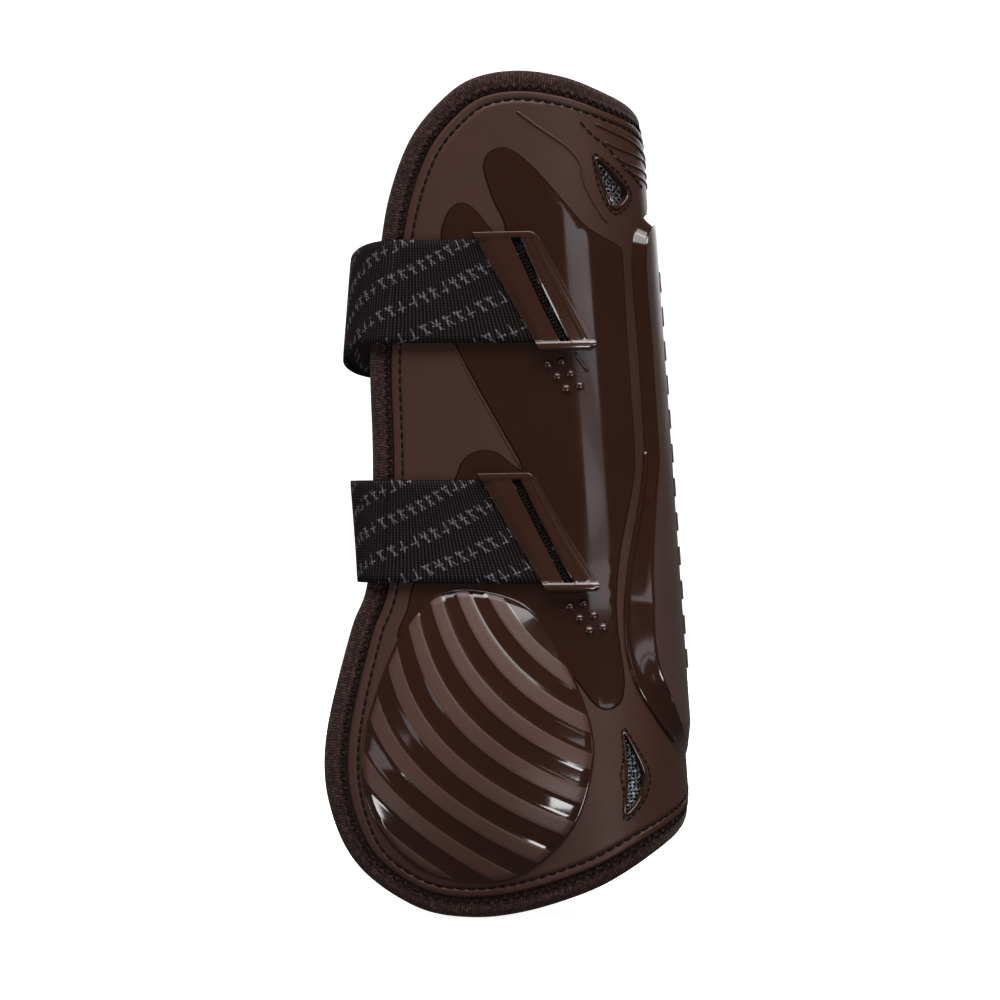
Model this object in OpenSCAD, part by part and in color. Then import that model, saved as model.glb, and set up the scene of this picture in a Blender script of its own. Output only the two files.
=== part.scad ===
// Tendon boot for the lower front leg of a horse, one boot.
// X runs to the rear of the leg, Z runs up the leg, the open front faces -X and the
// inner side of the leg faces -Y. Every layer is drawn flat as (u, z), where u is the
// distance round the leg from the back centre line, and is then wrapped round the leg.

/* [Sleeve] */
// Half width of the sleeve at mid height, mm
side_width = 35; // [34:0.5:36]
// Depth of the rounded back behind its centre, mm
back_depth = 34; // [33:0.5:35]
// Width of the rolled edge band, mm
band_width = 6; // [5.5:0.5:6.5]

/* [Layers] */
// Thickness of the moulded shell, mm
shell_wall = 2; // [1.8:0.1:2.2]
// Thickness of the shock foam, mm
foam_wall = 3.9; // [3.4:0.1:4.2]
// Thickness of the inner lining, mm
lining_wall = 1.9; // [1.5:0.1:2.2]
// Thickness of the rolled edge band, mm
band_thickness = 6; // [5:0.5:6.5]

/* [Ridge and domes] */
// Height of the tendon ridge at its centre line, mm
ridge_height = 1.8; // [1.4:0.1:2.4]
// Extra height of the tendon ridge at its side walls, mm
ridge_wall_extra = 2; // [1:0.2:2.6]
// Height of the strike dome at its middle, mm
dome_height = 5; // [4:0.2:6]
// Height of the strike dome at its rim, mm
dome_rim = 1.2; // [0.8:0.1:1.5]

/* [Straps] */
// Width of the elastic straps, mm
strap_width = 30; // [28:0.5:30]
// Thickness of the elastic straps, mm
strap_thickness = 1.5; // [1.2:0.1:1.5]
// Thickness of the bracket plate over the strap end, mm
bracket_plate = 1.5; // [1.2:0.1:1.8]
// Thickness of the end tabs, mm
tab_thickness = 1.8; // [1.4:0.1:1.8]
// Radius of the eyelets in the end tabs, mm
eyelet_radius = 3.6; // [3.5:0.05:3.7]

/* [Pins] */
// Radius of the fastening pin heads, mm
pin_head_radius = 2.7; // [2.4:0.1:2.8]
// Radius of the fastening pin stems, mm
pin_stem_radius = 1.8; // [1.5:0.1:2]

/* [Thread] */
// Radius of the sewing thread rows, mm
thread_radius = 0.35; // [0.3:0.05:0.4]

/* [Hidden] */
quarter = 54;
taper = 0.0028;
power = 2.5;
gap = 0.05;
seat = 0.2;
edge_inset = band_width + 0.25;
stitch_inset = band_width + 2.65;
foam_top = -shell_wall - gap;
foam_low = foam_top - foam_wall;
lining_top = foam_low - gap;
lining_low = lining_top - lining_wall;
strap_low = 1.2;
thread_gap = 0.2;
strap_top = strap_low + strap_thickness;
plate_low = strap_top + 0.15;
plate_top = plate_low + bracket_plate;
tab_low = strap_top + 0.15;
tab_top = tab_low + tab_thickness;
half_strap = strap_width / 2;
grid_n = 16;
grid_m = 22;

// Half of the outer outline from the top of the back, forward, down and back again.
outline_points = [[0, 235], [26, 239.3], [43, 244.4], [57, 246.2], [69, 243.9], [78, 237.5],
    [87, 227], [94, 212], [98.5, 195.7], [104.3, 165], [106, 132], [108.6, 97], [112, 83],
    [113.4, 62], [113, 33], [109.5, 14], [98, 2.3], [84, -0.8], [68, 1.4], [49, 8.6],
    [31, 19.2], [13, 25.3], [0, 27]];
ridge_points = [[0, 208], [12, 206], [24.9, 196.8], [25.5, 162], [25.7, 141], [26.6, 129],
    [33.6, 104.7], [37, 88], [37.4, 73], [33.5, 61.2], [22.4, 49.5], [0, 45]];
dome_points = [[79, 94.4], [65, 90], [57, 78.7], [51.2, 62], [50, 47], [55.2, 27.7],
    [66.5, 14.4], [79, 10.2], [93.5, 13.8], [101.3, 27], [103.4, 45], [101.4, 67], [97, 82.6],
    [89.7, 92]];
upper_vent_points = [[36.2, 220.6], [30, 215.6], [25.6, 210.8], [31.4, 206.4], [34.4, 212.6]];
lower_vent_points = [[41.7, 53.2], [39, 47.6], [37.3, 41], [38.6, 34.8], [42.9, 30],
    [41.9, 41.2]];

// strap data: height at the sewn side, height at the pinned side, foremost x, its slope,
// leaving place, its slope, start at the top edge, start at the bottom edge, end
upper_data = [181.8, 173.2, -55, 0.077, 96.5, -0.17, 57.8, 44, 76];
lower_data = [111.8, 111.8, -53, -0.082, 102.6, -0.07, 63.2, 47.4, 76];
upper_bracket = [[54.3, 199], [72.2, 198.7], [55.6, 164.3], [40.4, 164.7]];
lower_bracket = [[60, 128.9], [76, 128.6], [58.3, 94.4], [44, 94.5]];
pin_u = 62;
pin_spread = 7;
hinge_x = -41;

function half_width(z) = side_width + 8 * exp(-pow((z - 38) / 40, 2))
    + 3 * pow(max(0, (z - 140) / 114), 2);
function axis_x(z) = 12.8 - 0.07 * z;
function wrap(u, z, t = 0) = let (w = half_width(z) + t, a = back_depth + t,
    s = u >= 0 ? 1 : -1, v = abs(u))
    v <= quarter ? let (f = 90 * v / quarter, c = max(cos(f), 0), n = sin(f),
        r = pow(pow(c / a, power) + pow(n / w, power), -1 / power))
        [axis_x(z) + r * c, -s * r * n, z]
    : let (d = (v - quarter) * half_width(z) * PI / 2 / quarter)
        [axis_x(z) - d, -s * (w - taper * d * d), z];
function unit(v) = v / norm(v);
function out_dir(u, z) = unit(wrap(u, z, 1) - wrap(u, z, 0));

// smooth curves through the outline points
function spline(a, b, c, d, f) = 0.5 * (2 * b + (c - a) * f + (2 * a - 5 * b + 4 * c - d) * f * f
    + (3 * b - a - 3 * c + d) * f * f * f);
function flip(p) = [-p[0], p[1]];
function half_curve(P, k) = let (n = len(P)) concat([for (i = [0 : n - 2]) for (j = [0 : k - 1])
    spline(i == 0 ? flip(P[1]) : P[i - 1], P[i], P[i + 1], i == n - 2 ? flip(P[n - 2]) : P[i + 2],
        j / k)], [P[n - 1]]);
function ring_curve(P, k) = let (n = len(P)) [for (i = [0 : n - 1]) for (j = [0 : k - 1])
    spline(P[(i + n - 1) % n], P[i], P[(i + 1) % n], P[(i + 2) % n], j / k)];
function open_curve(P, k) = let (n = len(P)) concat([for (i = [0 : n - 2]) for (j = [0 : k - 1])
    spline(P[max(i - 1, 0)], P[i], P[i + 1], P[min(i + 2, n - 1)], j / k)], [P[n - 1]]);
function inset(E, d) = let (n = len(E)) [for (i = [0 : n - 1])
    let (a = i == 0 ? flip(E[1]) : E[i - 1], b = i == n - 1 ? flip(E[n - 2]) : E[i + 1],
        t = unit(b - a)) E[i] + d * [t[1], -t[0]]];
function both_sides(E) = concat(E, [for (i = [len(E) - 2 : -1 : 1]) flip(E[i])]);
function slice(E, a, b) = [for (i = [a : sign(b - a) : b]) E[i]];
function lengths(P) = [for (i = 0, s = 0; i < len(P);
    s = s + (i + 1 < len(P) ? norm(P[i + 1] - P[i]) : 0), i = i + 1) s];
function at(P, L, f) = let (s = f * L[len(L) - 1])
    [lookup(s, [for (i = [0 : len(P) - 1]) [L[i], P[i][0]]]),
     lookup(s, [for (i = [0 : len(P) - 1]) [L[i], P[i][1]]])];

// flat grid filled between the top, front and bottom edges of a half outline
function flat_grid(E, k1, k2, n, m, ease) = let (T = slice(E, 0, k1), F = slice(E, k1, k2),
    B = slice(E, len(E) - 1, k2), lt = lengths(T), lf = lengths(F), lb = lengths(B),
    TT = [for (i = [0 : n]) at(T, lt, pow(i / n, ease))], BB = [for (i = [0 : n]) at(B, lb, pow(i / n, ease))],
    FF = [for (j = [0 : m]) at(F, lf, j / m)])
    [for (j = [0 : m]) [for (i = [-n : n]) let (k = abs(i), s = pow(k / n, ease), v = j / m,
        q = (1 - v) * TT[k] + v * BB[k] + (1 - s) * ((1 - v) * TT[0] + v * BB[0]) + s * FF[j]
            - (1 - s) * ((1 - v) * TT[0] + v * BB[0]) - s * ((1 - v) * TT[n] + v * BB[n]))
        [(i < 0 ? -1 : 1) * q[0], q[1]]]];

// closed solid between two grids of points
module skin(A, B) {
    r = len(A); c = len(A[0]); N = r * c;
    pts = concat([for (row = A) each row], [for (row = B) each row]);
    quads = [for (j = [0 : r - 2]) for (i = [0 : c - 2]) let (a = j * c + i, b = a + 1, d = a + c,
        e = d + 1, near = i >= (c - 1) / 2, up = j < (r - 1) / 2)
        each near == up ? [[a, d, b], [d, e, b]] : [[a, d, e], [a, e, b]]];
    sides = concat(
        [for (i = [0 : c - 2]) each [[i, i + 1, N + i + 1], [i, N + i + 1, N + i]]],
        [for (i = [0 : c - 2]) let (d = (r - 1) * c + i, e = d + 1)
            each [[e, d, N + d], [e, N + d, N + e]]],
        [for (j = [0 : r - 2]) let (a = j * c, d = a + c) each [[d, a, N + a], [d, N + a, N + d]]],
        [for (j = [0 : r - 2]) let (b = j * c + c - 1, e = b + c)
            each [[b, e, N + e], [b, N + e, N + b]]]);
    polyhedron(concat(pts), concat(quads, [for (f = quads) [N + f[2], N + f[1], N + f[0]]], sides));
}
module sheet(G, t_out, t_in) {
    skin([for (row = G) [for (q = row) wrap(q[0], q[1], t_out)]],
         [for (row = G) [for (q = row) wrap(q[0], q[1], t_in)]]);
}
// closed solid over a ring outline, with a height for every inner ring
module pad(C, centre, radii, t_hi, t_lo) {
    n = len(C); k = len(radii); N = 1 + n * k;
    function level(h) = concat([wrap(centre[0], centre[1], h[0])], [for (a = [0 : k - 1])
        for (p = C) let (q = centre + radii[a] * (p - centre)) wrap(q[0], q[1], h[a + 1])]);
    top = concat([for (i = [0 : n - 1]) [0, 1 + i, 1 + (i + 1) % n]],
        [for (a = [0 : k - 2]) for (i = [0 : n - 1]) let (p = 1 + a * n + i,
            q = 1 + a * n + (i + 1) % n) each [[p, p + n, q + n], [p, q + n, q]]]);
    o = 1 + (k - 1) * n;
    wall = [for (i = [0 : n - 1]) let (p = o + i, q = o + (i + 1) % n)
        each [[q, p, N + p], [q, N + p, N + q]]];
    polyhedron(concat(level(t_hi), level(t_lo)),
        concat(top, [for (f = top) [N + f[2], N + f[1], N + f[0]]], wall));
}
module flat_pad(C, centre, t_hi, t_lo) {
    pad(C, centre, [0.55, 1], [t_hi, t_hi, t_hi], [t_lo, t_lo, t_lo]);
}
// round or oval cord laid along a flat path
module cord(F, t, rn, rb, sides, closed) {
    n = len(F);
    P = [for (q = F) wrap(q[0], q[1], t)];
    pts = [for (k = [0 : n - 1]) let (a = P[closed ? (k + n - 1) % n : max(k - 1, 0)],
        b = P[closed ? (k + 1) % n : min(k + 1, n - 1)], T = unit(b - a),
        B = unit(cross(T, out_dir(F[k][0], F[k][1]))), M = cross(B, T))
        for (i = [0 : sides - 1]) P[k] + rn * cos(360 * i / sides) * M
            + rb * sin(360 * i / sides) * B];
    last = closed ? n - 1 : n - 2;
    walls = [for (k = [0 : last]) for (i = [0 : sides - 1]) let (a = k * sides + i,
        b = k * sides + (i + 1) % sides, c = ((k + 1) % n) * sides + (i + 1) % sides,
        d = ((k + 1) % n) * sides + i) each [[a, d, c], [a, c, b]]];
    ends = closed ? [] : [[for (i = [0 : sides - 1]) i],
        [for (i = [sides - 1 : -1 : 0]) (n - 1) * sides + i]];
    polyhedron(pts, concat(walls, ends));
}
// four-cornered plate: low u top, high u top, high u bottom, low u bottom
function corner_at(Q, a, b) = (1 - a) * (1 - b) * Q[0] + a * (1 - b) * Q[1] + a * b * Q[2]
    + (1 - a) * b * Q[3];
module lateral() { mirror([0, 1, 0]) children(); }
module on_surface(u, z, t) {
    d = out_dir(u, z);
    translate(wrap(u, z, t)) rotate([0, 0, atan2(d[1], d[0])]) rotate([0, 90, 0]) children();
}

outline = half_curve(outline_points, 3);
layer_grid = flat_grid(inset(outline, edge_inset), 18, 45, grid_n, grid_m, 1.25);
ridge_outline = half_curve(ridge_points, 3);
ridge_grid = flat_grid(ridge_outline, 6, 27, 6, 20, 1);
dome_ring = ring_curve(dome_points, 3);
function grown(P, c, d) = [for (p = P) p + d * unit(p - c)];
upper_vent_centre = [31.4, 213];
lower_vent_centre = [40.4, 41.2];
upper_vent_ring = ring_curve(upper_vent_points, 5);
lower_vent_ring = ring_curve(lower_vent_points, 5);
upper_mesh_ring = grown(upper_vent_ring, upper_vent_centre, 2.2);
lower_mesh_ring = grown(lower_vent_ring, lower_vent_centre, 2.2);
upper_sew_ring = grown(upper_vent_ring, upper_vent_centre, 1.6);
lower_sew_ring = grown(lower_vent_ring, lower_vent_centre, 1.6);

module vents(hi, lo, grow) {
    flat_pad(grown(upper_vent_ring, upper_vent_centre, grow), upper_vent_centre, hi, lo);
    flat_pad(grown(lower_vent_ring, lower_vent_centre, grow), lower_vent_centre, hi, lo);
}

// moulded outer shell with four vent openings
module outer_shell() {
    color("#42302a") resize([0, 0, 0]) difference() {
        sheet(layer_grid, 0, -shell_wall);
        vents(2, -shell_wall - 1.5, 0);
        lateral() vents(2, -shell_wall - 1.5, 0);
    }
}
// flat-topped guard over the tendon, down the back
module tendon_ridge() {
    function edge(j) = ridge_grid[j][len(ridge_grid[0]) - 1][0];
    function rise(q, j) = let (v = j / 20, e = max(edge(j), 6)) seat
        + (ridge_height + ridge_wall_extra * pow(q[0] / e, 2)) * min(1, 0.4 + v * 11, 0.35 + (1 - v) * 8);
    color("#4a3630") skin(
        [for (j = [0 : 20]) [for (q = ridge_grid[j]) wrap(q[0], q[1], rise(q, j))]],
        [for (j = [0 : 20]) [for (q = ridge_grid[j]) wrap(q[0], q[1], seat)]]);
}
// oval strike plate low on each side
module strike_dome() {
    rings = [0.3, 0.55, 0.75, 0.9, 1];
    pad(dome_ring, [77, 52], rings, concat([seat + dome_height], [for (r = rings) seat + dome_rim
        + (dome_height - dome_rim) * (1 - pow(r, 2.4))]), [for (i = [0 : 5]) seat]);
}
module strike_dome_medial() { color("#30180f") strike_dome(); }
module strike_dome_lateral() { color("#30180f") lateral() strike_dome(); }
// foam between shell and lining, with shallow pockets for the vent mesh
module shock_foam() {
    color("#3a3a3c") resize([0, 0, 0]) difference() {
        sheet(layer_grid, foam_top, foam_low);
        vents(2, foam_top - 1.2, 2.5);
        lateral() vents(2, foam_top - 1.2, 2.5);
    }
}
module inner_lining() { color("#2d211f") sheet(layer_grid, lining_top, lining_low); }
// rolled edge band all the way round
module edge_binding() {
    color("#2d201e") cord(both_sides(inset(outline, band_width / 2)),
        (lining_low - 0) / 2, band_thickness / 2, band_width / 2, 8, true);
}
module perimeter_stitching() {
    color("#1c1412") cord(both_sides(inset(outline, stitch_inset)), thread_gap + thread_radius,
        thread_radius, thread_radius, 6, true);
}
module upper_mesh() { flat_pad(upper_mesh_ring, upper_vent_centre, foam_top - 0.5, foam_top - 1.05); }
module lower_mesh() { flat_pad(lower_mesh_ring, lower_vent_centre, foam_top - 0.5, foam_top - 1.05); }
module upper_vent_mesh_medial() { color("#8c8c90") upper_mesh(); }
module upper_vent_mesh_lateral() { color("#8c8c90") lateral() upper_mesh(); }
module lower_vent_mesh_medial() { color("#8c8c90") lower_mesh(); }
module lower_vent_mesh_lateral() { color("#8c8c90") lateral() lower_mesh(); }
module vent_threads() {
    cord(upper_sew_ring, thread_gap + thread_radius, thread_radius, thread_radius, 5, true);
    cord(lower_sew_ring, thread_gap + thread_radius, thread_radius, thread_radius, 5, true);
}
module vent_stitching() { color("#1c1412") { vent_threads(); lateral() vent_threads(); } }
// short sewn row across the top rear corner on each side
module flex_seam_stitching() {
    path = open_curve([[40.6, 231.5], [37.6, 228], [33.5, 224.8], [25, 217.8], [16, 213.2]], 3);
    color("#1c1412") {
        cord(path, thread_gap + thread_radius, thread_radius, thread_radius, 5, false);
        lateral() cord(path, thread_gap + thread_radius, thread_radius, thread_radius, 5, false);
    }
}
// raised bridge over the sewn strap end, open toward the front, with a sewing slot;
// it is built of cells in two layers, the walls below and the plate above
across = [0, 0.14, 0.25, 0.36, 0.52, 0.68, 0.84, 1];
along = [0, 0.045, 0.25, 0.5, 0.75, 0.955, 1];
function filled(i, j, k) = i >= 0 && i < 7 && j >= 0 && j < 6
    && (k == 0 ? j == 0 || j == 5 || i == 0 : k == 1 ? !(i == 3 && j > 0 && j < 5) : false);
module bracket(Q) {
    pts = [for (t = [seat, plate_low, plate_top]) for (b = along) for (a = across)
        let (q = corner_at(Q, a, b)) wrap(q[0], q[1], t)];
    function id(i, j, k) = (k * 7 + j) * 8 + i;
    quads = [for (k = [0, 1]) for (j = [0 : 5]) for (i = [0 : 6]) if (filled(i, j, k))
        let (a = id(i, j, k + 1), b = id(i + 1, j, k + 1), c = id(i + 1, j + 1, k + 1),
            d = id(i, j + 1, k + 1), N = 56)
        each [if (!filled(i, j, k + 1)) [a, d, c, b],
            if (!filled(i, j, k - 1)) [b - N, c - N, d - N, a - N],
            if (!filled(i, j - 1, k)) [a, b, b - N, a - N],
            if (!filled(i, j + 1, k)) [c, d, d - N, c - N],
            if (!filled(i - 1, j, k)) [d, a, a - N, d - N],
            if (!filled(i + 1, j, k)) [b, c, c - N, b - N]]];
    polyhedron(pts, [for (q = quads) each [[q[0], q[1], q[2]], [q[0], q[2], q[3]]]]);
}
module nubs(q) {
    for (c = [0, 1]) for (r = [0 : 2])
        on_surface(q[0] - 3.8 * c - 2.3 * r, q[1] + 0.8 * c - 3.5 * r, 0)
            rotate_extrude($fn = 20) polygon([[0, seat], [1.2, seat], [1.2, 0.7], [0.85, 1.05], [0, 1.2]]);
}
module upper_strap_bracket() { color("#42302a") bracket(upper_bracket); }
module lower_strap_bracket() { color("#42302a") bracket(lower_bracket); }
module grip_nubs() { color("#42302a") { nubs([53.5, 160.4]); nubs([52.2, 90.1]); } }
module anchor_thread(Q) {
    cord([for (i = [0 : 20]) corner_at(Q, 0.44 + (i % 2 == 0 ? -0.035 : 0.035), 0.1 + 0.04 * i)],
        strap_top + gap + thread_radius, thread_radius, thread_radius, 5, false);
}
module upper_anchor_stitching() { color("#1c1412") anchor_thread(upper_bracket); }
module lower_anchor_stitching() { color("#1c1412") anchor_thread(lower_bracket); }

// a strap: w from 0 to 1 on the sewn side, 1 to 2 round the front, 2 to 3 on the pinned side
function ease(f) = f * f * (3 - 2 * f);
function mix(a, b, f) = a + (b - a) * f;
function leave(S, z) = S[4] + S[5] * (z - S[0]);
function nose(S, z, f, t) = let (p = wrap(leave(S, z), z, 0), k = wrap(leave(S, z) + 0.1, z, 0),
    e = unit([k[0] - p[0], k[1] - p[1]]), a = [p[0], p[1]], b = a + 7 * e,
    d = [S[2] + S[3] * (z - S[0]), 0], c = d - [0, 14], g = 1 - f,
    q = g * g * g * a + 3 * g * g * f * b + 3 * g * f * f * c + f * f * f * d,
    v = unit(g * g * (b - a) + 2 * g * f * (c - b) + f * f * (d - c)))
    [q[0] - t * v[1], q[1] + t * v[0], z];
function strap_at(S, w, h, t) = let (far = S[1] - S[0],
    z = S[0] + h + (w < 1 ? 0 : w < 2 ? far * ease(w - 1) : far))
    w < 1 ? wrap(mix(mix(S[7], S[6], (h + half_strap) / strap_width), leave(S, z), w), z, t)
    : w <= 1.5 ? nose(S, z, 2 * (w - 1), t)
    : w < 2 ? let (p = nose(S, z, 2 * (2 - w), t)) [p[0], -p[1], p[2]]
    : wrap(-mix(leave(S, z), S[8], w - 2), z, t);
stations = concat([for (i = [0 : 9]) i / 10], [for (i = [0 : 15]) 1 + i / 16], [for (i = [0 : 7]) 2 + i / 7]);
module full_strap(S) {
    skin([for (j = [0 : 3]) [for (w = stations) strap_at(S, w, half_strap - j * strap_width / 3, strap_top)]],
         [for (j = [0 : 3]) [for (w = stations) strap_at(S, w, half_strap - j * strap_width / 3, strap_low)]]);
}
module far_half(x) { translate([x, 0, -10]) cube([120, 70, 280]); }
module upper_strap() {
    color("#1a1615") resize([0, 0, 0]) difference() { full_strap(upper_data); far_half(hinge_x - 0.15); }
}
module lower_strap() {
    color("#1a1615") resize([0, 0, 0]) difference() { full_strap(lower_data); far_half(hinge_x - 0.15); }
}
module upper_strap_end() {
    color("#1a1615") resize([0, 0, 0]) intersection() { full_strap(upper_data); far_half(hinge_x + 0.15); }
}
module lower_strap_end() {
    color("#1a1615") resize([0, 0, 0]) intersection() { full_strap(lower_data); far_half(hinge_x + 0.15); }
}
// moulded end tab with four eyelets, two of them over the pins
function rounded(c, a, b, n) = [for (i = [0 : n - 1]) let (f = 360 * i / n, x = cos(f), y = sin(f))
    c + [a * sign(x) * pow(abs(x), 0.5), b * sign(y) * pow(abs(y), 0.5)]];
module end_tab(z) {
    difference() {
        pad(rounded([66, z], 18, 13, 32), [66, z], [0.35, 0.7, 1], [for (i = [0 : 3]) tab_top],
            [for (i = [0 : 3]) tab_low]);
        for (u = [pin_u - 8.5, pin_u]) for (s = [-1, 1]) on_surface(pin_u, z + s * pin_spread, -2)
            translate([0, (pin_u - u) * 1.0, 0]) cylinder(r = eyelet_radius, h = 12, $fn = 48);
    }
}
module upper_end_tab() { color("#30180f") lateral() end_tab(upper_data[1]); }
module lower_end_tab() { color("#30180f") lateral() end_tab(lower_data[1]); }
module tab_thread(z) {
    cord(rounded([78, z], 3.2, 9.5, 28), tab_top + thread_gap + thread_radius, thread_radius, thread_radius, 5, true);
}
module upper_tab_stitching() { color("#1c1412") lateral() tab_thread(upper_data[1]); }
module lower_tab_stitching() { color("#1c1412") lateral() tab_thread(lower_data[1]); }
module pin_plate(z) {
    difference() {
        pad(rounded([pin_u, z], 6.5, 12.5, 32), [pin_u, z], [0.5, 1], [2.3, 2.3, 1.9], [seat, seat, seat]);
        for (s = [-1, 1]) on_surface(pin_u, z + s * pin_spread, 0)
            translate([0, 0, 0.9]) cylinder(r = pin_stem_radius + 0.05, h = 6, $fn = 48);
    }
}
module upper_pin_plate() { color("#30180f") lateral() pin_plate(upper_data[1]); }
module lower_pin_plate() { color("#30180f") lateral() pin_plate(lower_data[1]); }
module fastening_pins() {
    h = tab_top + 0.3;
    color("#8c8c90") for (z = [upper_data[1], lower_data[1]]) for (s = [-1, 1])
        lateral() on_surface(pin_u, z + s * pin_spread, 0) rotate_extrude($fn = 48) polygon([[0, 0.95],
            [pin_stem_radius, 0.95], [pin_stem_radius, h], [pin_head_radius, h],
            [pin_head_radius, h + 0.6], [pin_head_radius - 0.7, h + 1.2], [0, h + 1.4]]);
}

outer_shell();
tendon_ridge();
strike_dome_medial();
strike_dome_lateral();
shock_foam();
inner_lining();
edge_binding();
perimeter_stitching();
upper_vent_mesh_medial();
upper_vent_mesh_lateral();
lower_vent_mesh_medial();
lower_vent_mesh_lateral();
vent_stitching();
flex_seam_stitching();
upper_strap_bracket();
lower_strap_bracket();
grip_nubs();
upper_anchor_stitching();
lower_anchor_stitching();
upper_strap();
lower_strap();
upper_strap_end();
lower_strap_end();
upper_end_tab();
lower_end_tab();
upper_tab_stitching();
lower_tab_stitching();
upper_pin_plate();
lower_pin_plate();
fastening_pins();
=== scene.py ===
# %% [markdown]
# # A tendon boot for a horse's lower leg
# The boot is a moulded shell over foam and a knitted lining, with a rolled edge band, a guard
# down the tendon, a strike dome low on each side, and two elastic straps across the open front.
# Every layer of the real one is cut or moulded flat and then bent round the leg. The lesson does
# the same: a piece is modelled flat in millimetres, with x as the distance round the leg from the
# middle of the back, y as the height and z as the thickness, and is then wrapped round the leg.

# %% Load the frame
import math
import bmesh
import bpy
import numpy as np
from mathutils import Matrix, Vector


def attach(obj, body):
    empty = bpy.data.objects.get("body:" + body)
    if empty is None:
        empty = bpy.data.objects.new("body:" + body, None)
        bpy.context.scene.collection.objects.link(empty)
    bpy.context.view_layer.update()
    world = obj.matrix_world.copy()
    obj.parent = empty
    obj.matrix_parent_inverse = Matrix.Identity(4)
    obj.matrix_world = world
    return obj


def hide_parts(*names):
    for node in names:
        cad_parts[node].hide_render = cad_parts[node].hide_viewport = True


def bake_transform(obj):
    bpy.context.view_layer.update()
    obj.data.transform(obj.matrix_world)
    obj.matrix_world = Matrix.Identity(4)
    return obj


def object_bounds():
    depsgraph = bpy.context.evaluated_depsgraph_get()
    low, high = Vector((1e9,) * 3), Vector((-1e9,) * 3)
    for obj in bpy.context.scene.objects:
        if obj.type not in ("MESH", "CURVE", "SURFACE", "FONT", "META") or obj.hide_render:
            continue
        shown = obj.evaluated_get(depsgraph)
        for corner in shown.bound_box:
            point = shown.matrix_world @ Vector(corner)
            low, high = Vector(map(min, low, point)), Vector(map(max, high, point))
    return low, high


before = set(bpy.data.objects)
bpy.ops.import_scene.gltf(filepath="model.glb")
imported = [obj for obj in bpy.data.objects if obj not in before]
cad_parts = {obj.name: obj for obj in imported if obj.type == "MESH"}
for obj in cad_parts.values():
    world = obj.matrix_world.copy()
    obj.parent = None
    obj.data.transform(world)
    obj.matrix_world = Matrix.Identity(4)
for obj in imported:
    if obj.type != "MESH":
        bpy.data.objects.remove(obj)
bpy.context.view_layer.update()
bpy.ops.object.select_all(action="DESELECT")
print("frame nodes", len(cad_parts))

# %% [markdown]
# ## Camera
# A long lens, square to the inner side of the boot and level with its middle, gives the calm
# catalogue view.

# %% Camera
MM = 0.001
CAMERA_DISTANCE = 1.2
VIEW_WIDTH = 0.3
MID_X, MID_Z = -0.012, 0.121
bpy.ops.object.camera_add(location=(MID_X, -CAMERA_DISTANCE, MID_Z),
                          rotation=(math.pi / 2, 0, 0))
camera = bpy.context.object
camera.data.lens = camera.data.sensor_width * CAMERA_DISTANCE / VIEW_WIDTH
bpy.context.scene.camera = camera
print("lens", round(camera.data.lens, 1))

# %% [markdown]
# ## The leg's form
# One formula places the whole boot. Behind, the section is a rounded square corner (a
# superellipse), and on the sides it runs forward and closes in a little toward the open front.
# Wrapping is a plain move of every vertex, so it is done in code rather than with an operator.

# %% Wrap a flat piece round the leg
QUARTER, BACK_DEPTH, TAPER, POWER = 54.0, 34.0, 0.0028, 2.5
WAIST = 35
FETLOCK, FETLOCK_Z, FETLOCK_REACH = 8, 38, 40
KNEE, KNEE_Z, KNEE_REACH = 3, 140, 114
AXIS_X, AXIS_LEAN = 12.8, 0.07

def half_width(z):
    """Half the width at a height: more round the fetlock joint and toward the knee."""
    low = FETLOCK * np.exp(-((z - FETLOCK_Z) / FETLOCK_REACH) ** 2)
    return WAIST + low + KNEE * np.maximum(0, (z - KNEE_Z) / KNEE_REACH) ** 2

def axis_x(z):
    return AXIS_X - AXIS_LEAN * z

def wrap(u, z, t):
    """Places of flat points on the leg, in millimetres."""
    u, z, t = np.broadcast_arrays(*(np.asarray(v, float) for v in (u, z, t)))
    wide, deep, v = half_width(z) + t, BACK_DEPTH + t, np.abs(u)
    turn = np.radians(90 * np.minimum(v, QUARTER) / QUARTER)
    c, s = np.maximum(np.cos(turn), 0), np.sin(turn)
    r = ((c / deep) ** POWER + (s / wide) ** POWER) ** (-1 / POWER)
    d = np.maximum(v - QUARTER, 0) * half_width(z) * math.pi / 2 / QUARTER
    side = np.where(u >= 0, 1, -1)
    front = v > QUARTER
    x = np.where(front, axis_x(z) - d, axis_x(z) + r * c)
    y = -side * np.where(front, wide - TAPER * d * d, r * s)
    return np.stack([x, y, z], -1)

def out_dir(u, z):
    """Unit vectors straight out of the leg."""
    d = wrap(u, z, 1.0) - wrap(u, z, 0.0)
    return d / np.linalg.norm(d, axis=-1, keepdims=True)

BOTH = (False, True)

def get_points(obj):
    co = np.empty(len(obj.data.vertices) * 3)
    obj.data.vertices.foreach_get("co", co)
    return co.reshape(-1, 3)

def set_points(obj, co):
    obj.data.vertices.foreach_set("co", np.asarray(co, float).ravel())
    obj.data.update()

def wrap_piece(obj, mirrored=False):
    """Wraps a piece modelled flat; mirrored puts it on the outer side of the leg."""
    co = get_points(obj)
    if mirrored:
        co[:, 0] *= -1
    set_points(obj, wrap(co[:, 0], co[:, 1], co[:, 2]) * MM)
    if not mirrored:
        obj.data.flip_normals()
    return obj

# %% [markdown]
# ## Curves
# The outlines are smooth curves through a few points, as a pattern cutter would draw them.

# %% Curves through points
def spline(a, b, c, d, f):
    """Smooth step from b to c, with a before and d after them."""
    return 0.5 * (2 * b + (c - a) * f + (2 * a - 5 * b + 4 * c - d) * f ** 2
                  + (3 * b - a - 3 * c + d) * f ** 3)

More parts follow.
